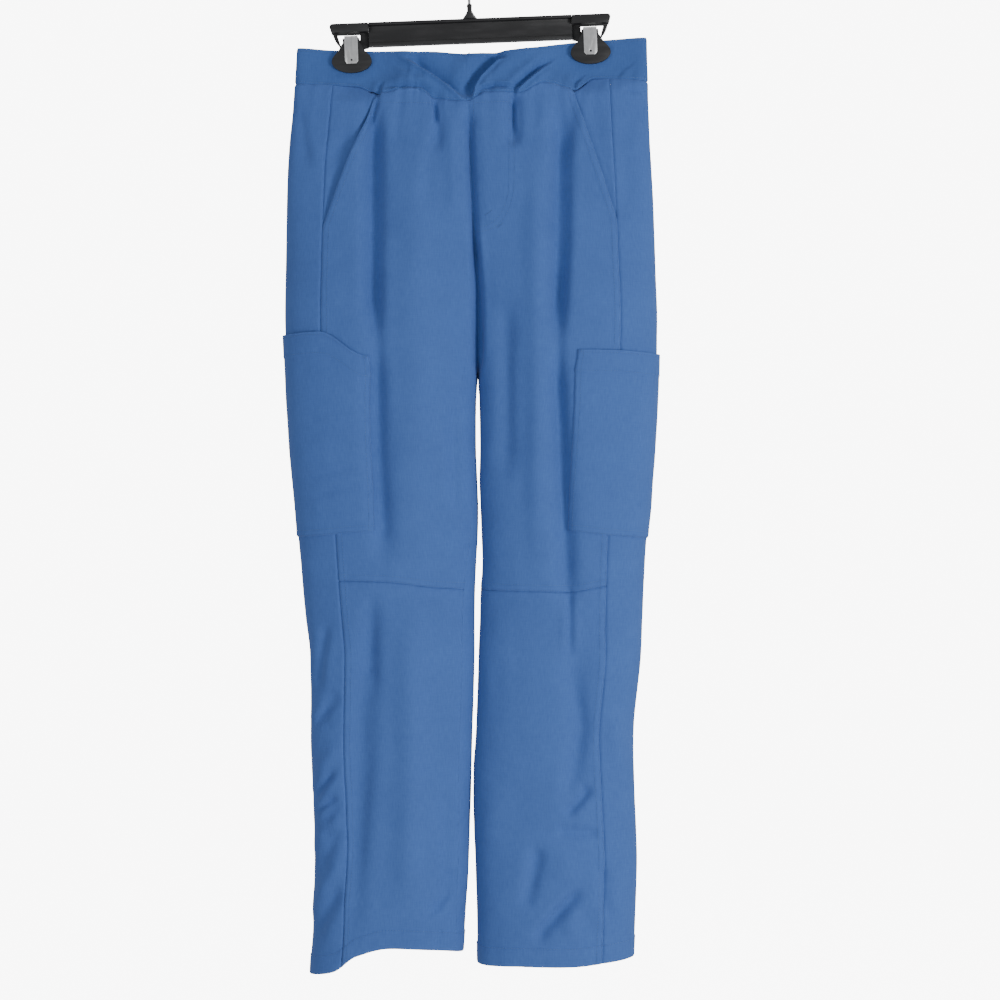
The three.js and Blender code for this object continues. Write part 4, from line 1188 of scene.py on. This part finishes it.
def hang(piece: bpy.types.Object, material: bpy.types.Material, slot: Slot, *nodes: str) -> bpy.types.Object:
    """Dresses a piece, seats it on the one body and lets it stand for its solids.

    Args:
        piece: The piece.
        material: Its material.
        slot: The record's slot of its finish. It is not used.
        nodes: The solids that it stands for.

    Returns:
        The piece.
    """
    piece.data.materials.clear()
    piece.data.materials.append(material)
    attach(piece, "root")
    if nodes:
        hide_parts(*nodes)
    LOG.info("built %s", piece.name)
    return piece


@dataclass
class Thread:
    """Rows of topstitching, sewn with one small spindle-shaped stitch."""

    name: str
    material: bpy.types.Material
    pitch: float = 3.3
    length: float = 2.7
    thickness: float = 0.42
    rows: list[tuple[Array, Array, float]] = field(default_factory=list)

    def row(self, path: tuple[Array, Array], pitch: float | None = None) -> None:
        """Adds a row along points with their outward normals."""
        self.rows.append((path[0], path[1], pitch or self.pitch))

    def bar(self, path: tuple[Array, Array]) -> None:
        """Adds a bartack: a short dense row, sewn over twice."""
        for shift in (-0.35, 0.35):
            lifted = path[0] + np.array([shift, 0.0, shift * 0.4])
            self.rows.append((lifted, path[1], 0.9))

    def stitch(self) -> bpy.types.Mesh:
        """The stitch that every row repeats, a metre long and across."""
        form = bmesh.new()
        bmesh.ops.create_uvsphere(form, u_segments=6, v_segments=4, radius=0.5)
        mesh = bpy.data.meshes.new(self.name + "_stitch")
        form.to_mesh(mesh)
        form.free()
        return mesh

    def sew(self) -> bpy.types.Object:
        """Sews the rows into one piece."""
        stitch = self.stitch()
        base = np.empty(len(stitch.vertices) * 3, np.float32)
        stitch.vertices.foreach_get("co", base)
        base = base.reshape(-1, 3).astype(float)
        form = bmesh.new()
        for points, normals, pitch in self.rows:
            runs = np.linalg.norm(np.diff(points, axis=0), axis=1)
            travelled = np.r_[0.0, np.cumsum(runs)]
            places = np.arange(pitch / 2.0, travelled[-1], pitch)
            short = min(self.length, pitch * 0.82) if pitch > 1.0 else 1.3
            for place in places:
                ends = [
                    np.array([np.interp(place + half, travelled, points[:, k]) for k in range(3)])
                    for half in (-0.5, 0.0, 0.5)
                ]
                out = np.array([np.interp(place, travelled, normals[:, k]) for k in range(3)])
                along = ends[2] - ends[0]
                along /= max(np.linalg.norm(along), 1e-9)
                out -= along * (out @ along)
                out /= max(np.linalg.norm(out), 1e-9)
                if pitch <= 1.0:
                    along = np.cross(along, out)
                sideways = np.cross(along, out)
                size = np.array([self.thickness, self.thickness, short])
                turned = (base * size) @ np.stack([sideways, out, along])
                placed = (turned + ends[1] + out * 0.12) * MM
                stitch.vertices.foreach_set("co", placed.astype(np.float32).ravel())
                form.from_mesh(stitch)
        mesh = bpy.data.meshes.new(self.name)
        form.to_mesh(mesh)
        form.free()
        bpy.data.meshes.remove(stitch)
        mesh.shade_smooth()
        piece = bpy.data.objects.new(self.name, mesh)
        bpy.context.scene.collection.objects.link(piece)
        return hang(piece, self.material, Slot.CLOTH)


@dataclass
class Waistband:
    """The casing round the waist, in a front and a back, gathered by the elastic inside."""

    wardrobe: Wardrobe
    drape: Drape = field(default_factory=Drape)
    columns: int = 125
    rows: int = 32
    edge: SewnEdge = SewnEdge(ridge=0.0, wear=0.3)
    fold: SewnEdge = SewnEdge(roll=0.7, width=1.6, pucker=0.3, fade=8.0, ridge=0.0, ridge_width=4.0, wear=0.2)
    cuts: dict[Face, tuple[tuple[float, float], float]] = field(default_factory=lambda: {
        Face.FRONT: ((0.425, 0.052), 0.0206),
        Face.BACK: ((0.42, 0.047), 0.0186),
    })

    def half(self, side: Side, face: Face) -> Laid:
        """One side of the band's front or back, from the silhouette to the centre."""
        coarse = 1
        grid = Grid(
            Spacing.between(self.columns // coarse, ROUND_STEPS, (0.0,)),
            Spacing.between(self.rows // coarse, (0.0, 0.6, 1.4, 2.4), (0.0, 0.6, 1.4, 2.4, 3.4)),
        )
        sign = -1.0 if face is Face.FRONT else 1.0

        def girths(section: Section) -> Array:
            """From the silhouette to the centre."""
            total = (section.front if face is Face.FRONT else section.back).total
            return grid.across(np.full(total.shape, sign * HALF_GAP), sign * total)

        def heights(_front: Array, x: Array) -> Array:
            """From the folded top to the seam."""
            return grid.down(TOP.read(face.value, x), BAND_SEAM.read(face.value, x) + HALF_GAP)

        return self.drape.lay(side, girths, heights, grid.shape)

    def laid(self, face: Face) -> Laid:
        """The whole front or back of the band, from silhouette to silhouette."""
        left, right = self.half(Side.LEFT, face), self.half(Side.RIGHT, face)
        girth = [np.abs(half.girth) - np.abs(half.girth[:, -1:]) for half in (left, right)]
        whole = Laid(
            np.concatenate([left.points, right.points[:, ::-1]], axis=1),
            np.concatenate([left.normals, right.normals[:, ::-1]], axis=1),
            np.concatenate([girth[0], -girth[1][:, ::-1]], axis=1),
            np.concatenate([left.front, right.front[:, ::-1]], axis=1),
        )
        self.edge.dress(whole, Edge.FOOT, self.drape.pinch, Seam.BAND)
        self.fold.dress(whole, Edge.TOP, self.drape.pinch, Seam.FREE)
        return whole

    def build(self, thread: Thread) -> None:
        """Builds both halves and sews along their edges."""
        for face in Face:
            laid = self.laid(face)
            name = "waistband_" + face.value
            piece = cloth_mesh(name + "_cloth", laid, BAND_CLOTH)
            rounding = piece.modifiers.new("rounding", "BEVEL")
            rounding.width, rounding.segments, rounding.angle_limit = 0.7 * MM, 2, math.radians(50)
            hang(piece, self.wardrobe.band, Slot.BAND, name)
            thread.row(laid.beside(Edge.FOOT, 2.2))
            thread.row(laid.beside(Edge.TOP, 3.4))


@dataclass(frozen=True)
class Slash:
    """A slanted pocket opening: where it meets the band, its foot, and how far the front stands open."""

    band_z: float
    foot: float
    at_band: float
    gape: float

    def edge(self, section: Section) -> Array:
        """How far along the front the front panel's outer edge lies."""
        reach = self.at_band * np.maximum(0.0, (section.z - self.foot) / (self.band_z - self.foot))
        return section.front.length_at(section.seam_x - section.side.value * reach)

    def gaping(self, laid: Laid) -> Array:
        """How far the front panel's edge stands out at each place."""
        down = np.clip((self.band_z - laid.points[..., 2]) / (self.band_z - self.foot), 0.0, 1.0)
        girth = np.abs(laid.girth)
        across = (girth - girth[:, :1]) / (girth[:, -1:] - girth[:, :1])
        return self.gape * np.sin(np.pi * down) * (1.0 - smooth(across / 0.22))


@dataclass(frozen=True)
class Cuts:
    """The cut of each sheet of one leg that shows, in metres: width, length and area."""

    front_upper: tuple[float, float, float]
    front_lower: tuple[float, float, float]
    side_panel: tuple[float, float, float]
    back: tuple[float, float, float]
    pocket_facing: tuple[float, float, float]
    cargo_pocket: tuple[float, float, float]


LENGTHS = ("_hip", "_thigh", "_shin")
LEFT_CUTS = Cuts(
    front_upper=(0.216, 0.556, 0.0905),
    front_lower=(0.16, 0.43, 0.054),
    side_panel=(0.122, 0.986, 0.112),
    back=(0.27, 0.985, 0.178),
    pocket_facing=(0.082, 0.162, 0.0077),
    cargo_pocket=(0.232, 0.232, 0.0512),
)
RIGHT_CUTS = Cuts(
    front_upper=(0.222, 0.556, 0.0926),
    front_lower=(0.188, 0.418, 0.066),
    side_panel=(0.12, 0.972, 0.111),
    back=(0.25, 0.975, 0.161),
    pocket_facing=(0.076, 0.156, 0.0067),
    cargo_pocket=(0.228, 0.208, 0.0467),
)


@dataclass
class Leg:
    """One side of the trousers: front in two pieces, side panel, back, pocket facing and cargo pocket."""

    side: Side
    wardrobe: Wardrobe
    slash: Slash
    cuts: Cuts
    pitch: float = 2.65
    back_pitch: float = 4.5
    facing_share: float = 2 / 14
    cargo_front: float = 4 / 14
    cargo_back: float = 3 / 12
    cargo_lift: float = 1.5
    cargo_swell: float = 1.4
    pocket_hem: float = 25.0
    seam: SewnEdge = SewnEdge()
    plain: SewnEdge = SewnEdge(ridge=0.0, wear=0.3)
    centre: SewnEdge = SewnEdge(roll=0.0, pucker=0.0, ridge=0.0)
    patch: SewnEdge = SewnEdge(roll=1.3, width=1.4, pucker=0.3, ridge=0.1, wear=0.3)
    hem: SewnEdge = SewnEdge(roll=0.35, width=0.9, pucker=0.3, fade=14.0, ridge=0.65, ridge_width=HEM_DEPTH,
                             wear=0.8)

    def grid(self, width: float, length: float, start: Sequence[float], end: Sequence[float],
             foot: Sequence[float] = SEAM_STEPS, pitch: float | None = None) -> Grid:
        """A sheet's grid.

        Args:
            width: The sheet's rough width.
            length: Its rough length.
            start: Steps in from its first column.
            end: Steps in from its last column.
            foot: Steps up from its foot.
            pitch: The distance between its lines.

        Returns:
            The grid.
        """
        step = (pitch or self.pitch) * 1.0
        return Grid(
            Spacing.between(round(width / step), start, end),
            Spacing.between(round(length / step), SEAM_STEPS, foot),
        )

    def finish(self, part: str, laid: Laid, lengths: Sequence[str] = ("",)) -> None:
        """Makes a sheet of a grid and dresses it. Its cut is read but not used.

        Args:
            part: The sheet's name on either side.
            laid: Its grid.
            lengths: The endings of its solids' names.
        """
        name = f"{self.side.word}_{part}"
        piece = cloth_mesh(name + "_cloth", laid, CLOTH)
        hang(piece, self.wardrobe.cloth, Slot.CLOTH, *(name + length for length in lengths))
        width, length, area = getattr(self.cuts, part)

    def front_girth(self, section: Section, share: float) -> Array:
        """The girth at a share of the way over the front, from its outer edge to the centre."""
        return -mix(self.slash.edge(section) + HALF_GAP, section.front_end - HALF_GAP * section.closed, share)

    def front_upper(self, drape: Drape, thread: Thread) -> Laid:
        """The front from band to knee, with the edge of the slanted pocket standing open."""
        grid = self.grid(190, 530, SEAM_STEPS, SEAM_STEPS)
        laid = drape.lay(
            self.side,
            lambda section: grid.across(self.front_girth(section, 0.0), self.front_girth(section, 1.0)),
            lambda _front, x: grid.down(BAND_SEAM.read("front", x) - HALF_GAP, KNEE.read("z", x) + HALF_GAP),
            grid.shape,
        )
        laid.raised(self.slash.gaping(laid))
        self.seam.dress(laid, Edge.START, drape.pinch, Seam.SIDE_FRONT)
        self.plain.dress(laid, Edge.TOP, drape.pinch, Seam.BAND)
        self.seam.dress(laid, Edge.FOOT, drape.pinch, Seam.KNEE)
        self.centre.dress(laid, Edge.END, drape.pinch, Seam.CENTRE)
        for distance in (1.8, 7.4):
            thread.row(laid.beside(Edge.START, distance))
            thread.row(laid.beside(Edge.FOOT, distance))
        self.finish("front_upper", laid)
        return laid

    def front_lower(self, drape: Drape, thread: Thread) -> Laid:
        """The front from knee to hem."""
        grid = self.grid(170, 400, SEAM_STEPS, SEAM_STEPS, HEM_STEPS)
        laid = drape.lay(
            self.side,
            lambda section: grid.across(self.front_girth(section, 0.0), self.front_girth(section, 1.0)),
            lambda _front, x: grid.down(KNEE.read("z", x) - HALF_GAP, HEM.read("front", x)),
            grid.shape,
        )
        self.seam.dress(laid, Edge.START, drape.pinch, Seam.SIDE_FRONT)
        self.plain.dress(laid, Edge.TOP, drape.pinch, Seam.KNEE)
        self.centre.dress(laid, Edge.END, drape.pinch, Seam.CENTRE)
        self.hem.dress(laid, Edge.FOOT, drape.pinch, Seam.FREE)
        for distance in (1.8, 7.4):
            thread.row(laid.beside(Edge.START, distance))
        thread.row(laid.beside(Edge.FOOT, HEM_DEPTH - 1.8))
        self.finish("front_lower", laid)
        return laid

    def side_panel(self, drape: Drape, thread: Thread) -> Laid:
        """The strip from band to hem round the outer edge."""
        halves = (
            self.grid(45, 960, SEAM_STEPS, ROUND_STEPS, HEM_STEPS),
            self.grid(45, 960, ROUND_STEPS, SEAM_STEPS, HEM_STEPS),
        )
        columns = (len(halves[0].columns), len(halves[1].columns))
        rows = len(halves[0].rows)
        shape = (rows, sum(columns) - 1)

        def girths(section: Section) -> Array:
            """From the front seam round the silhouette to the back seam."""
            front = -(section.front_seam.reshape(shape) - HALF_GAP)
            back = section.back_seam.reshape(shape) - HALF_GAP
            outer = halves[0].columns.place(front[:, : columns[0]], np.zeros((rows, columns[0])))
            inner = halves[1].columns.place(np.zeros((rows, columns[1])), back[:, columns[0] - 1:])
            return np.concatenate([outer, inner[:, 1:]], axis=1).ravel()

        def heights(front: Array, x: Array) -> Array:
            """From the band's seam to the hem, on whichever face a place is."""
            top = np.where(front, BAND_SEAM.read("front", x), BAND_SEAM.read("back", x)) - HALF_GAP
            foot = np.where(front, HEM.read("front", x), HEM.read("back", x))
            return halves[0].rows.place(top.reshape(shape).T, foot.reshape(shape).T).T.ravel()

        laid = drape.lay(self.side, girths, heights, shape)
        self.plain.dress(laid, Edge.START, drape.pinch, Seam.SIDE_FRONT)
        self.plain.dress(laid, Edge.END, drape.pinch, Seam.SIDE_BACK)
        self.plain.dress(laid, Edge.TOP, drape.pinch, Seam.BAND)
        self.hem.dress(laid, Edge.FOOT, drape.pinch, Seam.FREE)
        thread.row(laid.beside(Edge.FOOT, HEM_DEPTH - 1.8))
        self.finish("side_panel", laid, LENGTHS)
        return laid

    def back(self, drape: Drape, thread: Thread) -> Laid:
        """The back from band to hem."""
        grid = self.grid(270, 960, SEAM_STEPS, SEAM_STEPS, HEM_STEPS, pitch=self.back_pitch)
        laid = drape.lay(
            self.side,
            lambda section: grid.across(
                section.back_seam + HALF_GAP,
                section.back.total + (section.front.total - section.front_end) - HALF_GAP * section.closed,
            ),
            lambda front, x: grid.down(
                np.where(front, BAND_SEAM.read("front", x), BAND_SEAM.read("back", x)) - HALF_GAP,
                np.where(front, HEM.read("front", x), HEM.read("back", x)),
            ),
            grid.shape,
        )
        self.seam.dress(laid, Edge.START, drape.pinch, Seam.SIDE_BACK)
        self.centre.dress(laid, Edge.END, drape.pinch, Seam.CENTRE)
        self.plain.dress(laid, Edge.TOP, drape.pinch, Seam.BAND)
        self.hem.dress(laid, Edge.FOOT, drape.pinch, Seam.FREE)
        for distance in (1.8, 7.4):
            thread.row(laid.beside(Edge.START, distance))
        thread.row(laid.beside(Edge.FOOT, HEM_DEPTH - 1.8))
        self.finish("back", laid, LENGTHS)
        return laid

    def pocket_facing(self, drape: Drape) -> Laid:
        """The facing that shows in the slanted opening and dips under the front's edge."""
        grid = self.grid(60, 150, SEAM_STEPS, SEAM_STEPS)
        laid = drape.lay(
            self.side,
            lambda section: grid.across(
                -(section.front_seam + HALF_GAP), self.front_girth(section, self.facing_share)
            ),
            lambda _front, x: grid.down(
                BAND_SEAM.read("front", x) - HALF_GAP, POCKETS.read("slash_foot", x) + 0.6
            ),
            grid.shape,
        )
        section = Section(self.side, laid.points[..., 2].ravel())
        mouth = (self.slash.edge(section) - section.front_seam).reshape(grid.shape)
        share = (np.abs(laid.girth) - np.abs(laid.girth[:, :1])) / np.maximum(mouth, 1.0)
        laid.raised(-0.25 - 1.85 * smooth(1.5 * share))
        self.plain.dress(laid, Edge.START, drape.pinch, Seam.SIDE_FRONT)
        self.plain.dress(laid, Edge.TOP, drape.pinch, Seam.BAND)
        self.finish("pocket_facing", laid)
        return laid

    def cargo_pocket(self, drape: Drape, thread: Thread) -> Laid:
        """The patch pocket over the side panel, open at its hemmed top."""
        hem = (0.0, 0.6, 1.4, 3.0, 8.0, self.pocket_hem - 2.0, self.pocket_hem - 0.6, self.pocket_hem + 0.6,
               self.pocket_hem + 2.0)
        base = self.grid(190, 205, SEAM_STEPS, SEAM_STEPS)
        steps = round(205 / (self.pitch * 1.0))
        grid = Grid(base.columns, Spacing.between(steps, hem, SEAM_STEPS))
        laid = drape.lay(
            self.side,
            lambda section: grid.across(
                self.front_girth(section, self.cargo_front),
                mix(section.back_seam + HALF_GAP,
                    section.back.total + section.front.total - section.front_end - HALF_GAP, self.cargo_back),
            ),
            lambda _front, x: grid.down(POCKETS.read("cargo_top", x), POCKETS.read("cargo_foot", x)),
            grid.shape,
        )
        across = (laid.girth - laid.girth[:, :1]) / (laid.girth[:, -1:] - laid.girth[:, :1])
        top, foot = laid.points[:1, :, 2], laid.points[-1:, :, 2]
        down = (top - laid.points[..., 2]) / (top - foot)
        full = np.maximum(0.0, np.sin(np.pi * across) * np.sin(np.pi * (1.0 - down) / 2.0)) ** 0.5
        hemmed = smooth((self.pocket_hem - laid.distance(Edge.TOP)) / 1.4)
        laid.raised(self.cargo_lift + self.cargo_swell * full + 0.5 * hemmed)
        for edge in (Edge.START, Edge.END, Edge.FOOT):
            self.patch.dress(laid, edge, drape.pinch, Seam.PATCH)
            for distance in (1.8, 7.4):
                thread.row(laid.beside(edge, distance))
        laid.worn += 0.5 * bell(laid.distance(Edge.TOP) - 0.5, 1.0)
        for distance in (3.0, self.pocket_hem - 2.2):
            thread.row(laid.beside(Edge.TOP, distance))
        for first in (0.0, 1.0):
            edge = Edge.START if first == 0.0 else Edge.END
            thread.bar(laid.beside(edge, 4.6, 0.0, 0.035))
        self.finish("cargo_pocket", laid)
        return laid

    def build(self, thread: Thread) -> Laid:
        """Builds every sheet of the leg.

        Args:
            thread: The thread that sews it.

        Returns:
            The upper front, which the mock fly is sewn on.
        """
        drape = Drape()
        upper = self.front_upper(drape, thread)
        self.front_lower(drape, thread)
        self.side_panel(drape, thread)
        self.back(drape, thread)
        self.pocket_facing(drape)
        self.cargo_pocket(Drape(POCKET_CREASES), thread)
        return upper


@dataclass
class MockFly:
    """The fly that is only sewn: a double J of stitches with its bartacks, and the rows below the band."""

    thread: Thread
    top: tuple[float, float] = (51.7, -166.0)
    bend: tuple[float, float] = (51.7, -262.0)
    foot: tuple[float, float] = (12.1, -317.0)
    apart: float = 5.6

    def curve(self, inset: float) -> list[tuple[float, float]]:
        """The J's corners, a distance inside the outer row."""
        (x0, z0), (x1, z1), (x2, z2) = self.top, self.bend, self.foot
        steps = np.linspace(0.0, 1.0, 14)
        low = z2 + inset
        arc = [
            (
                x2 + (x1 - inset - x2) * math.cos(t * math.pi / 2) ** 0.85,
                z1 + (low - z1) * math.sin(t * math.pi / 2),
            )
            for t in steps
        ]
        return [(x0 - inset, z0), *arc]

    def build(self, left: Laid, right: Laid) -> None:
        """Sews the fly on the upper fronts."""
        for inset in (0.0, self.apart):
            self.thread.row(right.over(self.curve(inset)))
        for distance in (1.8, 7.4):
            self.thread.row(right.beside(Edge.END, distance, 0.0, 0.6))
        self.thread.bar(right.over([(20.5, -299.0), (28.0, -293.6)]))
        self.thread.bar(right.over([(33.0, -313.5), (39.6, -307.7)]))
        self.thread.row(left.over([(-95.0, -173.0), (-35.0, -174.0)]))
        self.thread.row(right.over([(9.0, -174.0), (50.0, -172.0)]))


@dataclass
class Hanger:
    """The moulded bar with its two clips and its wire hook."""

    wardrobe: Wardrobe
    wire_radius: float = 1.6
    hook_radius: float = 20.0
    tip_angle: float = 205.0
    last_angle: float = -50.0
    shank_top: float = -54.0
    shank_foot: float = -73.7
    lean: float = 7.0
    drop: float = 5.9
    tilt: float = 2.2

    def moulded(self, node: str, round_by: float, slot: Slot,
                material: bpy.types.Material) -> bpy.types.Object:
        """A solid with its long edges rounded as a mould or a press leaves them.

        Args:
            node: The solid.
            round_by: The radius of its edges, in millimetres.
            slot: The record's slot of its finish.
            material: Its material.

        Returns:
            The piece.
        """
        form = bmesh.new()
        form.from_mesh(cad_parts[node].data)
        bmesh.ops.remove_doubles(form, verts=form.verts, dist=0.02 * MM)
        bmesh.ops.dissolve_limit(form, angle_limit=math.radians(1.5), verts=form.verts, edges=form.edges)
        corner = math.radians(34)
        sharp = [edge for edge in form.edges if edge.is_manifold and edge.calc_face_angle(0.0) > corner]
        bmesh.ops.bevel(form, geom=sharp, offset=round_by * MM, offset_type="OFFSET", segments=2, profile=0.5,
                        affect="EDGES", clamp_overlap=True, material=-1)
        bmesh.ops.recalc_face_normals(form, faces=form.faces)
        mesh = bpy.data.meshes.new(node + "_shape")
        form.to_mesh(mesh)
        form.free()
        mesh.shade_smooth()
        mesh.set_sharp_from_angle(angle=math.radians(38))
        piece = bpy.data.objects.new(node + "_dressed", mesh)
        bpy.context.scene.collection.objects.link(piece)
        return hang(piece, material, slot, node)

    def wire_path(self) -> list[Vector]:
        """The middle of the hook's wire from its tip to the neck, tilted as the hanger hangs."""
        radius = self.hook_radius + self.wire_radius
        angles = np.radians(np.linspace(self.tip_angle, self.last_angle, 73))
        bend = [(radius * math.cos(a), radius * math.sin(a) - self.hook_radius) for a in angles]
        (x0, z0), (x3, z3) = bend[-1], (0.0, self.shank_top)
        lean = [
            tuple(
                (1 - t) ** 3 * a + 3 * (1 - t) ** 2 * t * b + 3 * (1 - t) * t * t * c + t**3 * d
                for a, b, c, d in ((x0, x0 - self.lean, 0.0, x3), (z0, z0 - self.drop, z3 + self.lean, z3))
            )
            for t in np.linspace(0.0, 1.0, 19)[1:]
        ]
        turn = math.radians(self.tilt)
        return [
            Vector((
                x * math.cos(turn) - z * math.sin(turn), 0.0, x * math.sin(turn) + z * math.cos(turn)
            )) * MM
            for x, z in [*bend, *lean, (0.0, self.shank_foot)]
        ]

    def hook(self) -> bpy.types.Object:
        """The bent wire, with its tip rounded over."""
        path = self.wire_path()
        tip = (path[0] - path[1]).normalized()
        caps = [
            (path[0] + tip * self.wire_radius * MM * reach, math.sqrt(1 - reach**2))
            for reach in (0.97, 0.8, 0.5)
        ]
        curve = bpy.data.curves.new("hook_path", "CURVE")
        curve.dimensions, curve.bevel_depth = "3D", self.wire_radius * MM
        curve.bevel_resolution, curve.use_fill_caps = 6, True
        spline = curve.splines.new("POLY")
        places = [*caps, *((point, 1.0) for point in path)]
        spline.points.add(len(places) - 1)
        for target, (point, size) in zip(spline.points, places):
            target.co, target.radius = (*point, 1.0), size
        drawn = bpy.data.objects.new("hook_drawn", curve)
        bpy.context.scene.collection.objects.link(drawn)
        mesh = bpy.data.meshes.new_from_object(drawn.evaluated_get(bpy.context.evaluated_depsgraph_get()))
        bpy.data.objects.remove(drawn)
        mesh.shade_smooth()
        piece = bpy.data.objects.new("hook_wire_bent", mesh)
        bpy.context.scene.collection.objects.link(piece)
        return hang(piece, self.wardrobe.wire, Slot.WIRE, "hanger_hook")

    def build(self) -> None:
        """Builds the whole hanger."""
        self.moulded("hanger_bar", 0.7, Slot.PLASTIC, self.wardrobe.plastic)
        for side in Side:
            self.moulded(f"{side.word}_clip_frame", 0.6, Slot.PLASTIC, self.wardrobe.plastic)
            self.moulded(f"{side.word}_clip_jaw", 0.7, Slot.PLASTIC, self.wardrobe.plastic)
            self.moulded(f"{side.word}_clip_spring", 0.22, Slot.STEEL, self.wardrobe.steel)
        self.hook()


@dataclass
class Studio:
    """A bright floor and backdrop that cast no light on the trousers, soft lights, and the camera."""

    floor_z: float = -1.45
    back_y: float = 3.6
    bend: float = 0.6
    width: float = 9.0
    ahead: float = 5.0
    rise: float = 5.0
    glow: float = 8.0
    dull_paper: tuple[float, float, float, float] = (0.88, 0.88, 0.89, 1.0)
    pale_paper: tuple[float, float, float, float] = (0.93, 0.93, 0.93, 1.0)
    sky: float = 0.52
    camera_at: tuple[float, float, float] = (0.0363, -2.1, -0.609)
    lens: float = 68.4
    lights: tuple[tuple[str, tuple[float, float, float], float, float], ...] = (
        ("key", (1.75, -1.65, -0.85), 0.6, 40.0),
        ("fill", (-1.7, -2.1, -1.4), 1.4, 26.0),
        ("top", (0.2, -0.9, 1.5), 1.6, 4.0),
        ("rear", (0.6, 1.2, 0.9), 1.6, 14.0),
    )
    target: tuple[float, float, float] = (0.0, 0.0, -0.62)

    def sweep(self) -> bpy.types.Object:
        """The floor and the backdrop in one bent sheet."""
        form = bmesh.new()
        bmesh.ops.create_grid(form, x_segments=1, y_segments=40, size=0.5)
        run = self.back_y + self.ahead
        quarter = self.bend * math.pi / 2
        for vert in form.verts:
            along = (vert.co.y + 0.5) * (run + quarter + self.rise)
            flat = min(along, run)
            turn = min(max(along - run, 0.0), quarter) / self.bend
            up = max(along - run - quarter, 0.0)
            vert.co = Vector((
                vert.co.x * self.width,
                flat - self.ahead - self.bend + self.bend * math.sin(turn),
                self.floor_z + self.bend * (1.0 - math.cos(turn)) + up,
            ))
        mesh = bpy.data.meshes.new("sweep")
        form.to_mesh(mesh)
        form.free()
        mesh.shade_smooth()
        board = Board("pale_paper")
        place = board.add("ShaderNodeTexCoord").outputs["Object"]
        shade = board.blended(board.grain(place, 3.0, 2.0), self.dull_paper, self.pale_paper)
        board.feed(board.shader.inputs["Base Color"], shade)
        board.shader.inputs["Roughness"].default_value = 0.95
        board.shader.inputs["Emission Color"].default_value = (1.0, 1.0, 1.0, 1.0)
        board.shader.inputs["Emission Strength"].default_value = self.glow
        mesh.materials.append(board.material)
        paper = bpy.data.objects.new("sweep", mesh)
        bpy.context.scene.collection.objects.link(paper)
        paper.visible_diffuse = paper.visible_glossy = False
        return paper

    def light(self, name: str, place: tuple[float, float, float], size: float, power: float) -> None:
        """One soft square light, turned to the trousers."""
        lamp = bpy.data.lights.new(name, "AREA")
        lamp.shape, lamp.size, lamp.energy = "SQUARE", size, power
        stand = bpy.data.objects.new(name, lamp)
        stand.location = place
        stand.rotation_euler = (Vector(self.target) - Vector(place)).to_track_quat("-Z", "Y").to_euler()
        bpy.context.scene.collection.objects.link(stand)

    def build(self) -> None:
        """Sets up the stage, the lights and the camera."""
        self.sweep()
        for name, place, size, power in self.lights:
            self.light(name, place, size, power)
        world = bpy.data.worlds.new("soft_light")
        world.use_nodes = True
        world.node_tree.nodes["Background"].inputs["Color"].default_value = (0.96, 0.97, 1.0, 1.0)
        world.node_tree.nodes["Background"].inputs["Strength"].default_value = self.sky
        bpy.context.scene.world = world
        camera = bpy.data.objects.new("camera", bpy.data.cameras.new("camera"))
        camera.data.lens, camera.data.sensor_width = self.lens, 36.0
        camera.location = self.camera_at
        camera.rotation_euler = (math.pi / 2, 0.0, 0.0)
        bpy.context.scene.collection.objects.link(camera)
        bpy.context.scene.camera = camera


def main() -> None:
    """Builds the trousers and their hanger in the studio."""
    logging.basicConfig(level=logging.INFO, format="%(message)s")
    wardrobe = Wardrobe()
    Studio().build()
    Hanger(wardrobe).build()
    band_thread = Thread("waistband_stitches", wardrobe.thread)
    Waistband(wardrobe).build(band_thread)
    band_thread.sew()
    uppers = {}
    for side, slash, cuts in (
        (Side.LEFT, Slash(-161.0, -312.0, 50.0, 4.0), LEFT_CUTS),
        (Side.RIGHT, Slash(-157.0, -303.0, 41.0, 2.4), RIGHT_CUTS),
    ):
        thread = Thread(f"{side.word}_stitches", wardrobe.thread)
        uppers[side] = Leg(side, wardrobe, slash, cuts).build(thread)
        thread.sew()
    fly_thread = Thread("fly_stitches", wardrobe.thread)
    MockFly(fly_thread).build(uppers[Side.LEFT], uppers[Side.RIGHT])
    fly_thread.sew()


if __name__ == "__main__":
    main()
